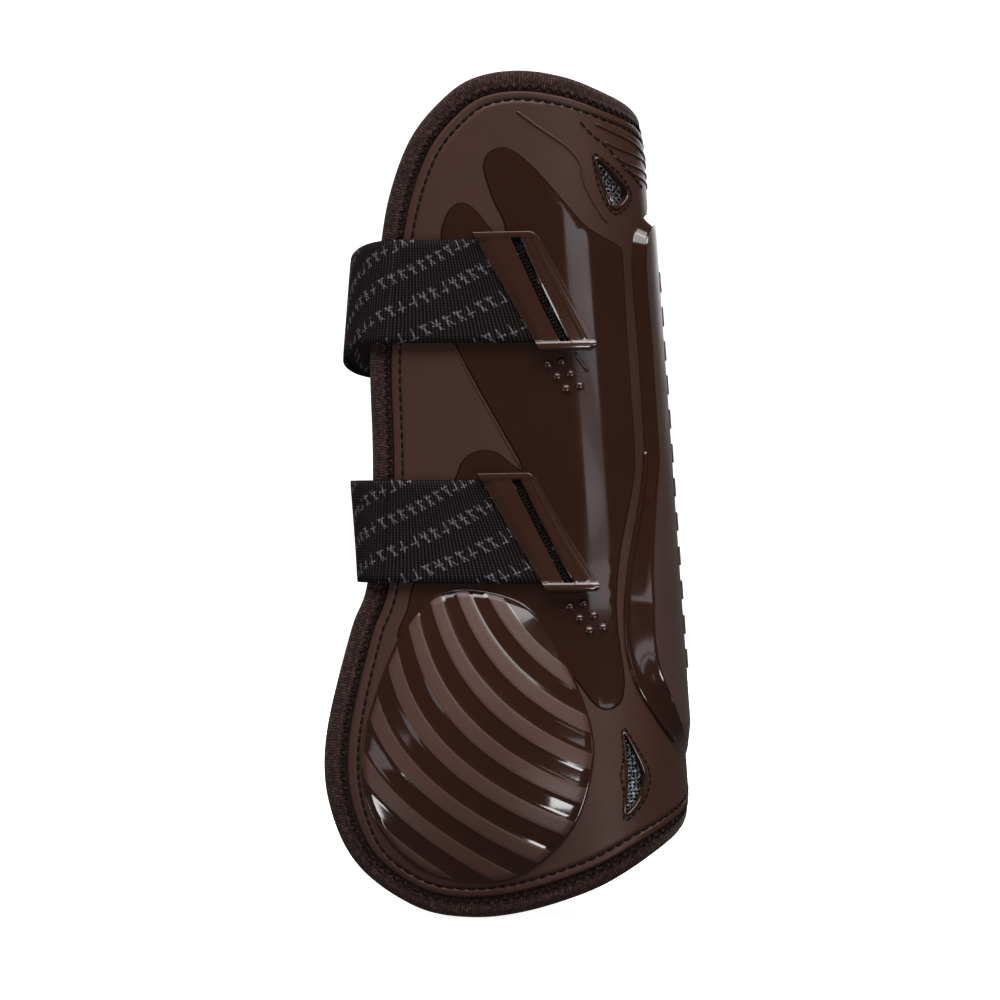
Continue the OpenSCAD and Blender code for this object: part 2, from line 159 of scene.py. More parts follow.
def curve(points, steps, closed=False, halved=False):
    """Smooth curve through points; halved means its mirror image continues it."""
    P = np.array(points, float)
    n, flip, out = len(P), np.array([-1, 1]), []
    for i in range(n if closed else n - 1):
        a = P[i - 1] if i or closed else (P[1] * flip if halved else P[0])
        last = P[n - 2] * flip if halved else P[n - 1]
        d = P[(i + 2) % n] if closed or i < n - 2 else last
        out += [spline(a, P[i], P[(i + 1) % n], d, j / steps) for j in range(steps)]
    return np.array(out if closed else out + [P[-1]])

def lengths(P):
    return np.concatenate([[0], np.cumsum(np.linalg.norm(np.diff(P, axis=0), axis=1))])

def at(P, f):
    """Places at the parts f of the path's whole length."""
    L = lengths(P)
    return np.stack([np.interp(np.asarray(f) * L[-1], L, P[:, k]) for k in range(P.shape[1])], -1)

def edge_normals(E, closed=False):
    if closed:
        d = np.roll(E, -1, 0) - np.roll(E, 1, 0)
    else:
        flip = np.array([-1, 1])
        X = np.vstack([E[1] * flip, E, E[-2] * flip])
        d = X[2:] - X[:-2]
    d /= np.linalg.norm(d, axis=1, keepdims=True)
    return np.stack([d[:, 1], -d[:, 0]], -1)

OUTLINE = [(0, 235), (26, 239.3), (43, 244.4), (57, 246.2), (69, 243.9), (78, 237.5), (87, 227),
           (94, 212), (98.5, 195.7), (104.3, 165), (106, 132), (108.6, 97), (112, 83), (113.4, 62),
           (113, 33), (109.5, 14), (98, 2.3), (84, -0.8), (68, 1.4), (49, 8.6), (31, 19.2),
           (13, 25.3), (0, 27)]
STEPS = 8
edge = curve(OUTLINE, STEPS, halved=True)
inward = edge_normals(edge)
TOP_CORNER, LOW_CORNER = 6 * STEPS, 15 * STEPS
BAND = 6.0

def inset(d):
    return edge + inward * d

def both_sides(E):
    return np.vstack([E, (E[1:-1] * (-1, 1))[::-1]])

print("edge length", round(2 * lengths(edge)[-1]), "mm")

# %% [markdown]
# ## Materials
# Each finish is a small node tree: a colour that varies a little, a roughness, and a fine bump at
# the real scale of the grain or weave. It works in Object coordinates, or in a UV map in
# millimetres where a knit has to follow its piece.

# %% Material helper
def tint(h):
    """Linear colour from an sRGB hex value."""
    c = [int(h[i:i + 2], 16) / 255 for i in (0, 2, 4)]
    return [v / 12.92 if v <= 0.04045 else ((v + 0.055) / 1.055) ** 2.4 for v in c] + [1]

class Finish:
    """A node tree with the few steps every finish here needs."""
    def __init__(self, name, rough=0.5, metal=0.0, coat=0.0, sheen=0.0, spec=0.5):
        self.mat = bpy.data.materials.new(name)
        self.mat.use_nodes = True
        self.nodes, self.links = self.mat.node_tree.nodes, self.mat.node_tree.links
        self.shader = self.nodes["Principled BSDF"]
        for key, v in (("Roughness", rough), ("Metallic", metal), ("Coat Weight", coat),
                       ("Sheen Weight", sheen), ("Specular IOR Level", spec)):
            self.shader.inputs[key].default_value = v
        self.height = None

    def add(self, kind, *links, **values):
        """New node; links are (source, input) pairs, values its settings and inputs."""
        node = self.nodes.new(kind)
        for key, v in values.items():
            if hasattr(node, key):
                setattr(node, key, v)
            else:
                node.inputs[key.replace("_", " ")].default_value = v
        for source, target in links:
            self.links.new(source, node.inputs[target])
        return node

    def place(self, uv=False):
        return self.add("ShaderNodeTexCoord").outputs["UV" if uv else "Object"]

    def noise(self, scale, detail=2.0, rough=0.5):
        return self.add("ShaderNodeTexNoise", (self.place(), "Vector"), Scale=scale,
                        Detail=detail, Roughness=rough).outputs[0]

    def math(self, op, a, b=0.0, c=0.0):
        n = self.add("ShaderNodeMath", operation=op)
        for i, v in enumerate((a, b, c)):
            if isinstance(v, (int, float)):
                n.inputs[i].default_value = v
            else:
                self.links.new(v, n.inputs[i])
        return n.outputs[0]

    def ramp(self, value, stops):
        n = self.add("ShaderNodeValToRGB", (value, 0))
        while len(n.color_ramp.elements) < len(stops):
            n.color_ramp.elements.new(0.5)
        for e, (p, col) in zip(n.color_ramp.elements, stops):
            e.position, e.color = p, tint(col) if isinstance(col, str) else (col,) * 3 + (1,)
        return n.outputs[0]

    def colour(self, socket):
        self.links.new(socket, self.shader.inputs["Base Color"])
        return self

    def rough(self, value, low, high):
        r = self.ramp(value, [(0.2, low), (0.8, high)])
        self.links.new(r, self.shader.inputs["Roughness"])
        return self

    def bump(self, height, depth):
        """Adds relief of a depth in metres on top of the relief that is there."""
        n = self.add("ShaderNodeBump", (height, "Height"), Distance=depth, Strength=1.0)
        if self.height is not None:
            self.links.new(self.height, n.inputs["Normal"])
        self.height = n.outputs[0]
        self.links.new(self.height, self.shader.inputs["Normal"])
        return self

# %% [markdown]
# ### Moulded plastic
# The shell is a soft moulded plastic with a silky grain. The raised leaves and the domes are the
# same plastic from a polished part of the mould, so they are darker and mirror the lights.

# %% Moulded finishes
def moulded(name, dark, light, rough, grain, coat=0.0, spec=0.5):
    f = Finish(name, rough, coat=coat, spec=spec)
    f.colour(f.ramp(f.noise(22, 4), [(0.3, dark), (0.75, light)]))
    f.rough(f.noise(60, 3), rough - 0.04, rough + 0.05)
    f.bump(f.noise(2600, 3, 0.6), grain * MM)
    return f.mat

matte = moulded("matte moulding", "351e17", "3f261e", 0.5, 0.03, spec=0.3)
gloss = moulded("polished moulding", "251007", "2d150b", 0.1, 0.0015, coat=0.2)
silky = moulded("frosted band", "432b25", "4e352e", 0.4, 0.06, spec=0.4)
# The leaf's rim finish is darker than the polished plastic and barely reflects: painted shade
# along the edge of each leaf.
painted_shade_rim = moulded("leaf edge", "160a06", "1d0e09", 0.7, 0.01, spec=0.03)
ridge_skin = moulded("ridge moulding", "3f2b27", "49342f", 0.42, 0.035)
print("moulded finishes made")

# %% Knit, elastic, thread and metal
WAVE_PERIOD, KNIT_PITCH = 0.314, 0.8

def knit():
    f = Finish("edge knit", 0.9, sheen=0.08, spec=0.2)
    wave = f.add("ShaderNodeTexWave", (f.place(uv=True), "Vector"), bands_direction="X",
                 Scale=WAVE_PERIOD / KNIT_PITCH, Distortion=1.5, Detail=2, Detail_Scale=2)
    stripe, fuzz = wave.outputs[1], f.noise(900, 4, 0.7)
    mix = f.math("ADD", f.math("MULTIPLY", stripe, 0.16), f.math("MULTIPLY", fuzz, 0.9))
    f.colour(f.ramp(mix, [(0.35, "0d0504"), (0.55, "261512"), (0.75, "553a33")]))
    f.bump(f.noise(1400, 4, 0.7), 0.25 * MM)
    f.bump(stripe, 0.09 * MM)
    return f.mat

def thread(name, dark, light):
    f = Finish(name, 0.8, spec=0.1)
    f.colour(f.ramp(f.noise(1500, 2), [(0.3, dark), (0.7, light)]))
    f.bump(f.noise(3000, 2), 0.05 * MM)
    return f.mat

def steel():
    f = Finish("pin steel", 0.3, metal=1.0)
    f.colour(f.ramp(f.noise(300, 3), [(0.3, "77777a"), (0.7, "9a9a9d")]))
    f.rough(f.noise(500, 3), 0.24, 0.38)
    return f.mat

def yarn():
    f = Finish("dark yarn with painted glints", 0.25, spec=1.0)
    # Random light-grey flecks in the yarn's colour are painted glints; the near-black is the
    # yarn's own colour, and its real shine comes from the low roughness.
    f.colour(f.ramp(f.noise(1200, 2), [(0.45, "0b0b0d"), (0.68, "b0b0b6")]))
    f.rough(f.noise(2000, 2), 0.2, 0.4)
    return f.mat

binding_knit = knit()
dark_thread = thread("dark thread", "0a0605", "1e1411")
mesh_yarn = yarn()
pin_steel = steel()
print("textile and metal finishes made")

# %% [markdown]
# ## Sheets
# The shell, the foam and the lining are one curved sheet each, so a grid primitive is stretched
# to the outline: its columns fan out from the back and its rows run from the top to the bottom.

# %% A grid stretched to the outline
def activate(*objs):
    bpy.ops.object.select_all(action="DESELECT")
    for obj in objs:
        obj.select_set(True)
    bpy.context.view_layer.objects.active = objs[0]

def apply_all(obj):
    activate(obj)
    for m in list(obj.modifiers):
        bpy.ops.object.modifier_apply(modifier=m.name)
    return obj

def thicken(obj, thick):
    """Makes a sheet solid, below its face."""
    m = obj.modifiers.new("thickness", "SOLIDIFY")
    m.thickness, m.offset = thick, -1
    return apply_all(obj)

def grid(name, nx, ny, place):
    """Grid primitive whose vertices go where place(fx, fy) says: flat x, y, z."""
    bpy.ops.mesh.primitive_grid_add(x_subdivisions=nx, y_subdivisions=ny, size=2)
    obj = bpy.context.object
    obj.name = obj.data.name = name
    co = get_points(obj)
    fx, fy = np.round((co[:, 0] + 1) / 2, 6), np.round((co[:, 1] + 1) / 2, 6)
    set_points(obj, np.stack(place(fx, fy), -1))
    return obj

COLUMN_SPREAD = 1.15

def fan(E, fx, fy, k1=TOP_CORNER, k2=LOW_CORNER):
    """Flat place of a grid point inside half an outline E with corners at k1 and k2."""
    T, F, B = E[:k1 + 1], E[k1:k2 + 1], E[k2:][::-1]
    i = 2 * fx - 1
    s, v = np.abs(i) ** COLUMN_SPREAD, 1 - fy
    t, b, f = at(T, s), at(B, s), at(F, v)
    s, v = s[:, None], v[:, None]
    q = (1 - v) * t + v * b + s * (f - (1 - v) * T[-1] - v * B[-1])
    return np.sign(i) * q[:, 0], q[:, 1]

def finish_piece(obj, mat, body, nodes=(), angle=None):
    """Material, smooth shading, and what the frame needs to know about a piece."""
    obj.data.materials.clear()
    for m in (mat if isinstance(mat, list) else [mat]):
        obj.data.materials.append(m)
    activate(obj)
    if angle:
        bpy.ops.object.shade_smooth_by_angle(angle=math.radians(angle))
    else:
        bpy.ops.object.shade_smooth()
    if body:
        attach(obj, body)
    if nodes:
        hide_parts(*nodes)
    print(obj.name, len(obj.data.polygons), "faces")
    return obj

# %% [markdown]
# ## Outer shell
# The shell's edge is rounded and a shallow groove runs just inside it for the sewing. Rows of
# extruded edge loops carry that profile all the way round; the sheet is then made solid and the
# four vents are cut with a boolean while it is still flat.

# %% Shell sheet
SHELL_EDGE = BAND + 0.25
SEW_LINE = BAND + 2.65
EDGE_PROFILE = [(10.2, 0.0), (9.35, 0.0), (9.0, -0.28), (SEW_LINE, -0.42), (8.3, -0.28),
                (7.95, 0.0), (6.9, 0.0), (6.45, -0.15), (SHELL_EDGE, -0.5)]

def border_feet(bm, E, N):
    """Border edges, and for each border vertex its place and the outline's normal there."""
    ring, feet = [e for e in bm.edges if e.is_boundary], {}
    for v in {v for e in ring for v in e.verts}:
        k = int(np.argmin(np.hypot(E[:, 0] - v.co.x, E[:, 1] - v.co.y)))
        feet[v] = (np.array(v.co), N[k])
    return ring, feet

def next_loop(bm, ring, feet, place):
    """Extrudes the border once; place(foot, normal) says where each new vertex goes."""
    out = bmesh.ops.extrude_edge_only(bm, edges=ring)["geom"]
    ring, fresh = [g for g in out if isinstance(g, bmesh.types.BMEdge)], {}
    for v in {v for e in ring for v in e.verts}:
        old = min((e.other_vert(v) for e in v.link_edges if e.other_vert(v) in feet),
                  key=lambda w: (w.co - v.co).length)
        fresh[v] = feet[old]
        v.co = place(*feet[old])
    return ring, fresh

def bordered_sheet(name, nx, ny, profile, thick):
    """Sheet with extruded loops round its border that follow a profile of inset and height."""
    start, top = profile[0]
    obj = grid(name, nx, ny, lambda fx, fy: (*fan(inset(start), fx, fy), np.full(len(fx), top)))
    bm = bmesh.new()
    bm.from_mesh(obj.data)
    ring, feet = border_feet(bm, both_sides(inset(start)), both_sides(inward))
    for d, h in profile[1:]:
        ring, feet = next_loop(bm, ring, feet, lambda p, n: (*(p[:2] - n * (start - d)), h))
    bm.to_mesh(obj.data)
    bm.free()
    return thicken(obj, thick)

UPPER_VENT = [(36.2, 220.6), (30, 215.6), (25.6, 210.8), (31.4, 206.4), (34.4, 212.6)]
LOWER_VENT = [(41.7, 53.2), (39, 47.6), (37.3, 41), (38.6, 34.8), (42.9, 30), (41.9, 41.2)]
VENTS = {"upper": (UPPER_VENT, (31.4, 213)), "lower": (LOWER_VENT, (40.4, 41.2))}

def vent_ring(P, centre, grow):
    """A vent's outline, moved out from its centre."""
    P = curve(P, 8, closed=True)
    v = P - np.array(centre)
    return P + v / np.linalg.norm(v, axis=1, keepdims=True) * grow

def signed_area(P):
    Q = np.roll(P, -1, 0)
    return float(np.sum(P[:, 0] * Q[:, 1] - Q[:, 0] * P[:, 1]))

def counterclockwise(P):
    return P if signed_area(P) > 0 else P[::-1]

def prism(ring, low, high):
    """Straight prism over a flat ring, from a circle primitive pulled to the ring."""
    bpy.ops.mesh.primitive_circle_add(vertices=len(ring), radius=1, fill_type="NGON")
    obj = bpy.context.object
    set_points(obj, np.c_[counterclockwise(ring), np.full(len(ring), low)])
    bpy.ops.object.mode_set(mode="EDIT")
    bpy.ops.mesh.select_all(action="SELECT")
    bpy.ops.mesh.extrude_region_move(TRANSFORM_OT_translate={"value": (0, 0, high - low)})
    bpy.ops.mesh.select_all(action="SELECT")
    bpy.ops.mesh.normals_make_consistent(inside=False)
    bpy.ops.object.mode_set(mode="OBJECT")
    return obj

def cut(obj, cutters):
    for c in cutters:
        m = obj.modifiers.new("cut", "BOOLEAN")
        m.object, m.operation, m.solver = c, "DIFFERENCE", "EXACT"
        apply_all(obj)
        bpy.data.objects.remove(c)
    return obj

def vent_cutters(grow, low, high):
    rings = [vent_ring(P, centre, grow) for P, centre in VENTS.values()]
    return [prism(ring * (side, 1), low, high) for ring in rings for side in (1, -1)]

shell = bordered_sheet("outer_shell_skin", 110, 100, EDGE_PROFILE, 2.0)
cut(shell, vent_cutters(0.0, -6.0, 3.0))
wrap_piece(shell)
finish_piece(shell, matte, "boot", ["outer_shell"], angle=40)

# %% [markdown]
# ## Polished leaves
# On each side a leaf-shaped area of the shell stands a little proud and is polished. A free
# outline like this is filled with even triangles in code, rises over a narrow rounded rim, and
# is given its thickness by Solidify before it is bent round the leg.

# %% Filled patch with a rounded rim
from mathutils.geometry import delaunay_2d_cdt

def inside(P, ring):
    x, y = P[:, 0], P[:, 1]
    a, b = ring, np.roll(ring, -1, 0)
    hit = np.zeros(len(P), bool)
    for (x1, y1), (x2, y2) in zip(a, b):
        if y1 != y2:
            hit ^= ((y1 > y) != (y2 > y)) & (x < (x2 - x1) * (y - y1) / (y2 - y1) + x1)
    return hit

def even_ring(P, pitch):
    P = np.vstack([P, P[:1]])
    n = max(8, int(lengths(P)[-1] / pitch))
    return at(P, np.arange(n) / n)

LEAF_HEIGHT, LEAF_THICK, FILL_PITCH = 0.26, 0.4, 2.4
RIM_INSETS, RIM_LEVELS = (0.0, 0.18, 0.45), (0.0, 0.8, 1.0)

def new_piece(name, points, faces):
    mesh = bpy.data.meshes.new(name)
    mesh.from_pydata(points.tolist(), [], faces)
    obj = bpy.data.objects.new(name, mesh)
    bpy.context.collection.objects.link(obj)
    return obj

def far_from(points, P):
    """Distance of each point from the nearest point of P."""
    return np.hypot(points[:, None, 0] - P[None, :, 0], points[:, None, 1] - P[None, :, 1]).min(1)

def patch(name, ring):
    """Raised patch over a flat ring, filled with even triangles inside its rim's loops."""
    P = counterclockwise(even_ring(ring, 1.0))
    n = -edge_normals(P, closed=True)
    loops = [P + n * d for d in RIM_INSETS]
    lo, hi = P.min(0), P.max(0)
    gx, gy = np.meshgrid(*(np.arange(a, b, FILL_PITCH) for a, b in zip(lo, hi)))
    fill = np.c_[gx.ravel() + FILL_PITCH / 2 * (np.indices(gx.shape)[0].ravel() % 2), gy.ravel()]
    fill = fill[inside(fill, loops[-1])]
    fill = fill[far_from(fill, P) > RIM_INSETS[-1] + FILL_PITCH * 0.45]
    k = len(P)
    edges = [(j * k + i, j * k + (i + 1) % k) for j in range(len(loops)) for i in range(k)]
    points = [Vector(p) for p in np.vstack(loops + [fill])]
    v, _, f, *_ = delaunay_2d_cdt(points, edges, [], 1, 1e-4)
    v = np.array([tuple(p) for p in v])
    t = LEAF_HEIGHT * np.interp(far_from(v, P), RIM_INSETS, RIM_LEVELS)
    return thicken(new_piece(name, np.c_[v, t], f), LEAF_THICK)

LEAF = [(62.3, 223.7), (58.3, 222.2), (52.8, 216.7), (46.8, 209), (41.3, 201.9), (37.6, 199),
        (33.7, 197), (30.2, 195.2), (29.2, 192.5), (29.4, 180), (29.4, 165), (29.4, 150),
        (29.4, 136), (30.4, 128), (33, 118.7), (36.3, 107.6), (39, 93.6), (39.7, 82.6),
        (39.5, 71.4), (40.1, 65.9), (41.6, 62), (45, 60.1), (48.5, 62), (54.1, 70.9), (62, 74),
        (80, 74), (98.2, 79), (97, 89.4), (95.5, 97), (90, 113), (82.2, 128), (80.5, 131.9),
        (77.3, 134.7), (73.4, 135.7), (69.6, 134.7), (66.4, 132), (63, 130.4), (68.9, 142.9),
        (75.3, 156.3), (79.9, 167.4), (81.5, 182), (81.2, 197.6), (80.1, 201.9), (78.4, 205.3),
        (75.9, 207.4), (73.6, 207.6), (71.4, 206.2), (69.3, 203.7), (67, 200.1), (63.5, 197.5),
        (63.3, 202), (65.7, 208), (67.5, 215.3), (67.6, 219.1), (65.8, 222.2)]
for mirrored, name in zip(BOTH, ("leaf_medial", "leaf_lateral")):
    leaf = patch(name, curve(LEAF, 4, closed=True))
    t = get_points(leaf)[:, 2]
    corners = [t[list(p.vertices)] for p in leaf.data.polygons]
    # Faces on the rim's slope take the darker rim finish, painted shade along the leaf's edge.
    rim = [int(c.min() < LEAF_HEIGHT - 0.02 and c.max() > -0.01) for c in corners]
    finish_piece(wrap_piece(leaf, mirrored), [gloss, painted_shade_rim], "boot", angle=50)
    leaf.data.polygons.foreach_set("material_index", rim)

# %% [markdown]
# ## Cords and beads
# Raised moulding lines, the edge band and the sewing all follow a path on the leg. One helper
# sweeps an oval along such a path and lays the millimetres along it into a UV map, for the knit.

# %% Sweep an oval along a flat path
def power(v, p):
    return np.sign(v) * np.abs(v) ** p

def sweep(name, path, t, rn, rb, sides=10, closed=False, shape=2.0, mirrored=False):
    """Cord along a flat path; rn is its radius off the leg and rb its radius along it."""
    u = path[:, 0] * (-1 if mirrored else 1)
    P, N = wrap(u, path[:, 1], t), out_dir(u, path[:, 1])
    T = np.roll(P, -1, 0) - np.roll(P, 1, 0) if closed else np.gradient(P, axis=0)
    T /= np.linalg.norm(T, axis=1, keepdims=True)
    B = np.cross(T, N)
    B /= np.linalg.norm(B, axis=1, keepdims=True)
    M = np.cross(B, T)
    a = np.arange(sides) * 2 * math.pi / sides
    c, s = power(np.cos(a), 2 / shape), power(np.sin(a), 2 / shape)
    rn, rb = (np.broadcast_to(r, len(P))[:, None, None] for r in (rn, rb))
    V = P[:, None] + rn * c[None, :, None] * M[:, None] + rb * s[None, :, None] * B[:, None]
    n, L = len(P), lengths(np.vstack([P, P[:1]]))
    faces, uvs = [], []
    for k in range(n if closed else n - 1):
        for i in range(sides):
            j, k2 = (i + 1) % sides, (k + 1) % n
            faces.append((k * sides + i, k * sides + j, k2 * sides + j, k2 * sides + i))
            uvs += [(L[k], i), (L[k], i + 1), (L[k + 1], i + 1), (L[k + 1], i)]
    if not closed:
        faces += [tuple(range(sides))[::-1], tuple((n - 1) * sides + i for i in range(sides))]
        uvs += [(0, i) for i in range(sides)] + [(L[n - 1], i) for i in range(sides)]
    obj = new_piece(name, V.reshape(-1, 3) * MM, faces)
    obj.data.uv_layers.new(name="UVMap").data.foreach_set("uv", np.array(uvs, float).ravel())
    return obj

def join(name, objs):
    activate(*objs)
    bpy.ops.object.join()
    objs[0].name = objs[0].data.name = name
    return objs[0]

UPPER_BEAD = [(57.3, 234), (53.2, 230.6), (48.9, 227.3), (44.6, 224), (42.1, 221.1), (40.8, 218.3),
              (40.2, 213.5), (38.1, 208.7), (35.4, 203.9), (33.9, 202.3)]
PANEL_LINE = [(80.4, 167.4), (75.8, 156.3), (69.4, 142.9), (63.6, 130.8)]
FLUTES = [[(35.9, 230.7), (27.9, 228), (9.9, 223.6), (0, 222.6)],
          [(33.1, 225.6), (24.7, 223.2), (0, 220.4)],
          [(30.3, 221.4), (23, 219.5), (0, 217.2)],
          [(26.6, 218.4), (19.6, 216.6), (0, 214.3)]]
BEADS = [(UPPER_BEAD, 0.42), (PANEL_LINE, 0.3)] + [(line, 0.38) for line in FLUTES]
beads = [sweep("bead", curve(line, 6), 0.05, r, r, 8, mirrored=m)
         for line, r in BEADS for m in BOTH]
finish_piece(join("moulding_lines", beads), matte, "boot")

# %% [markdown]
# ## Strike domes
# The dome is a shallow oval cap with frosted bands that stand proud between polished ones. Its
# rows of vertices follow the bands' arcs, so every band has a true, crisp edge in the mesh.

# %% Dome bands
DOME = [(79, 94.4), (65, 90), (57, 78.7), (51.2, 62), (50, 47), (55.2, 27.7), (66.5, 14.4),
        (79, 10.2), (93.5, 13.8), (101.3, 27), (103.4, 45), (101.4, 67), (97, 82.6), (89.7, 92)]
DOME_MIDDLE = np.array([77.0, 52.0])
DOME_HEIGHT, DOME_RIM, CROWN_POWER, RIM_DROP = 5.2, 1.0, 2.4, 0.5
BAND_STEP, BAND_PITCH, DOME_COLUMNS = 0.22, 4.65, 90
dome_ring = even_ring(curve(DOME, 10, closed=True), 0.6)

FAN_START, FAN_RAY = np.array([-20.0, 138.0]), np.array([97.0, -86.0])
FIRST_BAND, BAND_RADIUS, RADIUS_STEP, BAND_TURN, TURN_STEP = 103.2, 66, 2.2, -50, 1.2

def band_circle(s):
    """Centre and radius of the arc at place s; whole numbers are the bands' edges."""
    s = np.asarray(s, float)
    mid = FAN_START + FAN_RAY / np.hypot(*FAN_RAY) * (FIRST_BAND + BAND_PITCH * s)[..., None]
    turn, r = np.radians(BAND_TURN + TURN_STEP * s), BAND_RADIUS + RADIUS_STEP * s
    return mid - r[..., None] * np.stack([np.cos(turn), np.sin(turn)], -1), r

def band_place(P):
    """The place s of each point, found by halving."""
    lo, hi = np.full(len(P), -14.0), np.full(len(P), 26.0)
    for _ in range(40):
        mid = (lo + hi) / 2
        c, r = band_circle(mid)
        far = np.hypot(*(P - c).T) > r
        lo, hi = np.where(far, mid, lo), np.where(far, hi, mid)
    return (lo + hi) / 2

def dome_height(P):
    v, w = P - DOME_MIDDLE, dome_ring - DOME_MIDDLE
    turn = np.arctan2(w[:, 1], w[:, 0])
    order = np.argsort(turn)
    edge_r = np.interp(np.arctan2(v[:, 1], v[:, 0]), turn[order], np.hypot(*w.T)[order],
                       period=2 * math.pi)
    r = np.clip(np.hypot(*v.T) / edge_r, 0, 1)
    crown = (DOME_HEIGHT - DOME_RIM) * (1 - r ** CROWN_POWER)
    return DOME_RIM + crown - RIM_DROP * np.clip((r - 0.97) / 0.03, 0, 1)

def close_under(obj, low):
    """Drops a wall from the open border to a low level and closes it."""
    bm = bmesh.new()
    bm.from_mesh(obj.data)
    out = bmesh.ops.extrude_edge_only(bm, edges=[e for e in bm.edges if e.is_boundary])["geom"]
    for v in (g for g in out if isinstance(g, bmesh.types.BMVert)):
        v.co.z = low
    face = bmesh.ops.contextual_create(bm, geom=[e for e in bm.edges if e.is_boundary])["faces"]
    bmesh.ops.triangulate(bm, faces=face)
    bmesh.ops.recalc_face_normals(bm, faces=bm.faces)
    bm.to_mesh(obj.data)
    bm.free()
    return obj

def band_levels(first, last):
    """Places of the rows: close pairs at the bands' edges and four rows between them."""
    levels = [first + 0.02, first + 0.1, last - 0.1, last - 0.02]
    for i in range(math.ceil(first), math.ceil(last)):
        levels += [i - 0.05, i + 0.05] + list(np.linspace(i + 0.05, i + 0.95, 6)[1:-1])
    return np.array(sorted(v for v in levels if first < v < last))

def dome_row(s, ring_s):
    """Points along the arc at place s, between its two crossings of the dome's outline."""
    above = ring_s > s
    hops = [i for i in range(len(dome_ring)) if above[i] != above[i - 1]]
    c, r = band_circle(s)
    ends = []
    for i in (hops[0], hops[-1]):
        f = (s - ring_s[i - 1]) / (ring_s[i] - ring_s[i - 1])
        end = dome_ring[i - 1] + f * (dome_ring[i] - dome_ring[i - 1])
        ends.append(math.atan2(*(end - c)[::-1]))
    turn = np.linspace(min(ends), max(ends), DOME_COLUMNS)
    return c + r * np.stack([np.cos(turn), np.sin(turn)], -1)

def make_dome(name, mirrored):
    ring_s, n = band_place(dome_ring), DOME_COLUMNS
    levels = band_levels(ring_s.min(), ring_s.max())
    P = np.vstack([dome_row(s, ring_s) for s in levels])
    t = dome_height(P) + BAND_STEP * (np.floor(np.repeat(levels, n)) % 2 == 1)
    faces = [(j * n + i, j * n + i + 1, (j + 1) * n + i + 1, (j + 1) * n + i)
             for j in range(len(levels) - 1) for i in range(n - 1)]
    frosted = (np.floor((levels[1:] + levels[:-1]) / 2) % 2 == 1) & (np.diff(levels) > 0.11)
    obj = new_piece(name, np.c_[P, t], faces)
    obj.data.polygons.foreach_set("material_index", np.repeat(frosted, n - 1).astype(int))
    wrap_piece(close_under(obj, -0.2), mirrored)
    mats = np.zeros(len(obj.data.polygons), int)
    obj.data.polygons.foreach_get("material_index", mats)
    side = "lateral" if mirrored else "medial"
    finish_piece(obj, [gloss, silky], "boot", [f"strike_dome_{side}"], angle=40)
    obj.data.polygons.foreach_set("material_index", mats)

make_dome("dome_medial", False)
make_dome("dome_lateral", True)
rims = [sweep("rim", dome_ring[::2], 0.12, 0.55, 0.75, closed=True, mirrored=m) for m in BOTH]
finish_piece(join("dome_rims", rims), gloss, "boot")

# %% [markdown]
# ## Tendon ridge
# The guard down the back is flat on top with steep walls; lower down its walls spread into a
# polished hollow with a bead along the foot. A fine grid is stretched over its top, and rings of
# edges extruded from it go down the walls. Plain raised bars stand where the real one has letters.

# %% Ridge
RIDGE = [(0, 208), (12, 206), (24.9, 196.8), (25.5, 162), (25.7, 141), (26.6, 129), (33.6, 104.7),
         (37, 88), (37.4, 73), (33.5, 61.2), (22.4, 49.5), (0, 45)]
RIDGE_HEIGHT, RIDGE_SIDES = 2.0, 2.0
WALL, HOLLOW = 2.3, 4.6
ridge_edge = curve(RIDGE, STEPS, halved=True)
RIDGE_TOP_CORNER, RIDGE_LOW_CORNER = 2 * STEPS, 9 * STEPS
ridge_side = ridge_edge[RIDGE_TOP_CORNER:RIDGE_LOW_CORNER + 1][::-1]

def wall_width(z):
    """Width of the wall round the ridge: narrow above, a broad hollow lower down."""
    return WALL + HOLLOW * np.clip((124 - z) / 32, 0, 1) * np.clip((z - 47) / 14, 0, 1)

def ridge_height(u, z):
    """Height of the flat skin: its two sides stand up, its ends run out."""
    e = np.interp(z, ridge_side[:, 1], ridge_side[:, 0])
    ends = np.clip((209 - z) / 7, 0.2, 1) * np.clip((z - 43) / 12, 0.3, 1)
    return (RIDGE_HEIGHT + RIDGE_SIDES * np.minimum(np.abs(u) / e, 1) ** 2) * ends

ridge_out = edge_normals(ridge_edge)
ridge_top = ridge_edge + ridge_out * wall_width(ridge_edge[:, 1])[:, None]
ridge_top[[0, -1], 0] = 0

def ridge_place(fx, fy):
    u, z = fan(ridge_top, fx, fy, RIDGE_TOP_CORNER, RIDGE_LOW_CORNER)
    return u, z, ridge_height(u, z)

def wall_place(part):
    """Where the wall's vertices go at a part of its width: a steep drop, or a hollow curve."""
    def place(p, n):
        wide = float(wall_width(p[1]))
        climb = (1 - part) ** (1.8 if wide > 3 else 1.0) * (0.9 if part < 0.1 else 1)
        return (*(p[:2] - n * wide * part), p[2] * climb + 0.05)
    return place

ridge = grid("tendon_ridge_skin", 72, 140, ridge_place)
bm = bmesh.new()
bm.from_mesh(ridge.data)
skin_faces = len(bm.faces)
ring, feet = border_feet(bm, both_sides(ridge_top), both_sides(ridge_out))
for part in (0.07, 0.16, 0.3, 0.5, 0.7, 0.88, 1.0):
    ring, feet = next_loop(bm, ring, feet, wall_place(part))
bm.to_mesh(ridge.data)
bm.free()
close_under(ridge, -0.2)
wall = [int(p.index >= skin_faces) for p in ridge.data.polygons]
wrap_piece(ridge)
finish_piece(ridge, [ridge_skin, gloss], "boot", ["tendon_ridge"], angle=45)
ridge.data.polygons.foreach_set("material_index", wall)
foot_line = ridge_edge[4 * STEPS + 4:10 * STEPS]
foot_beads = [sweep("foot", foot_line, 0.35, 0.75, 0.8, mirrored=m) for m in BOTH]
finish_piece(join("ridge_foot_beads", foot_beads), gloss, "boot")

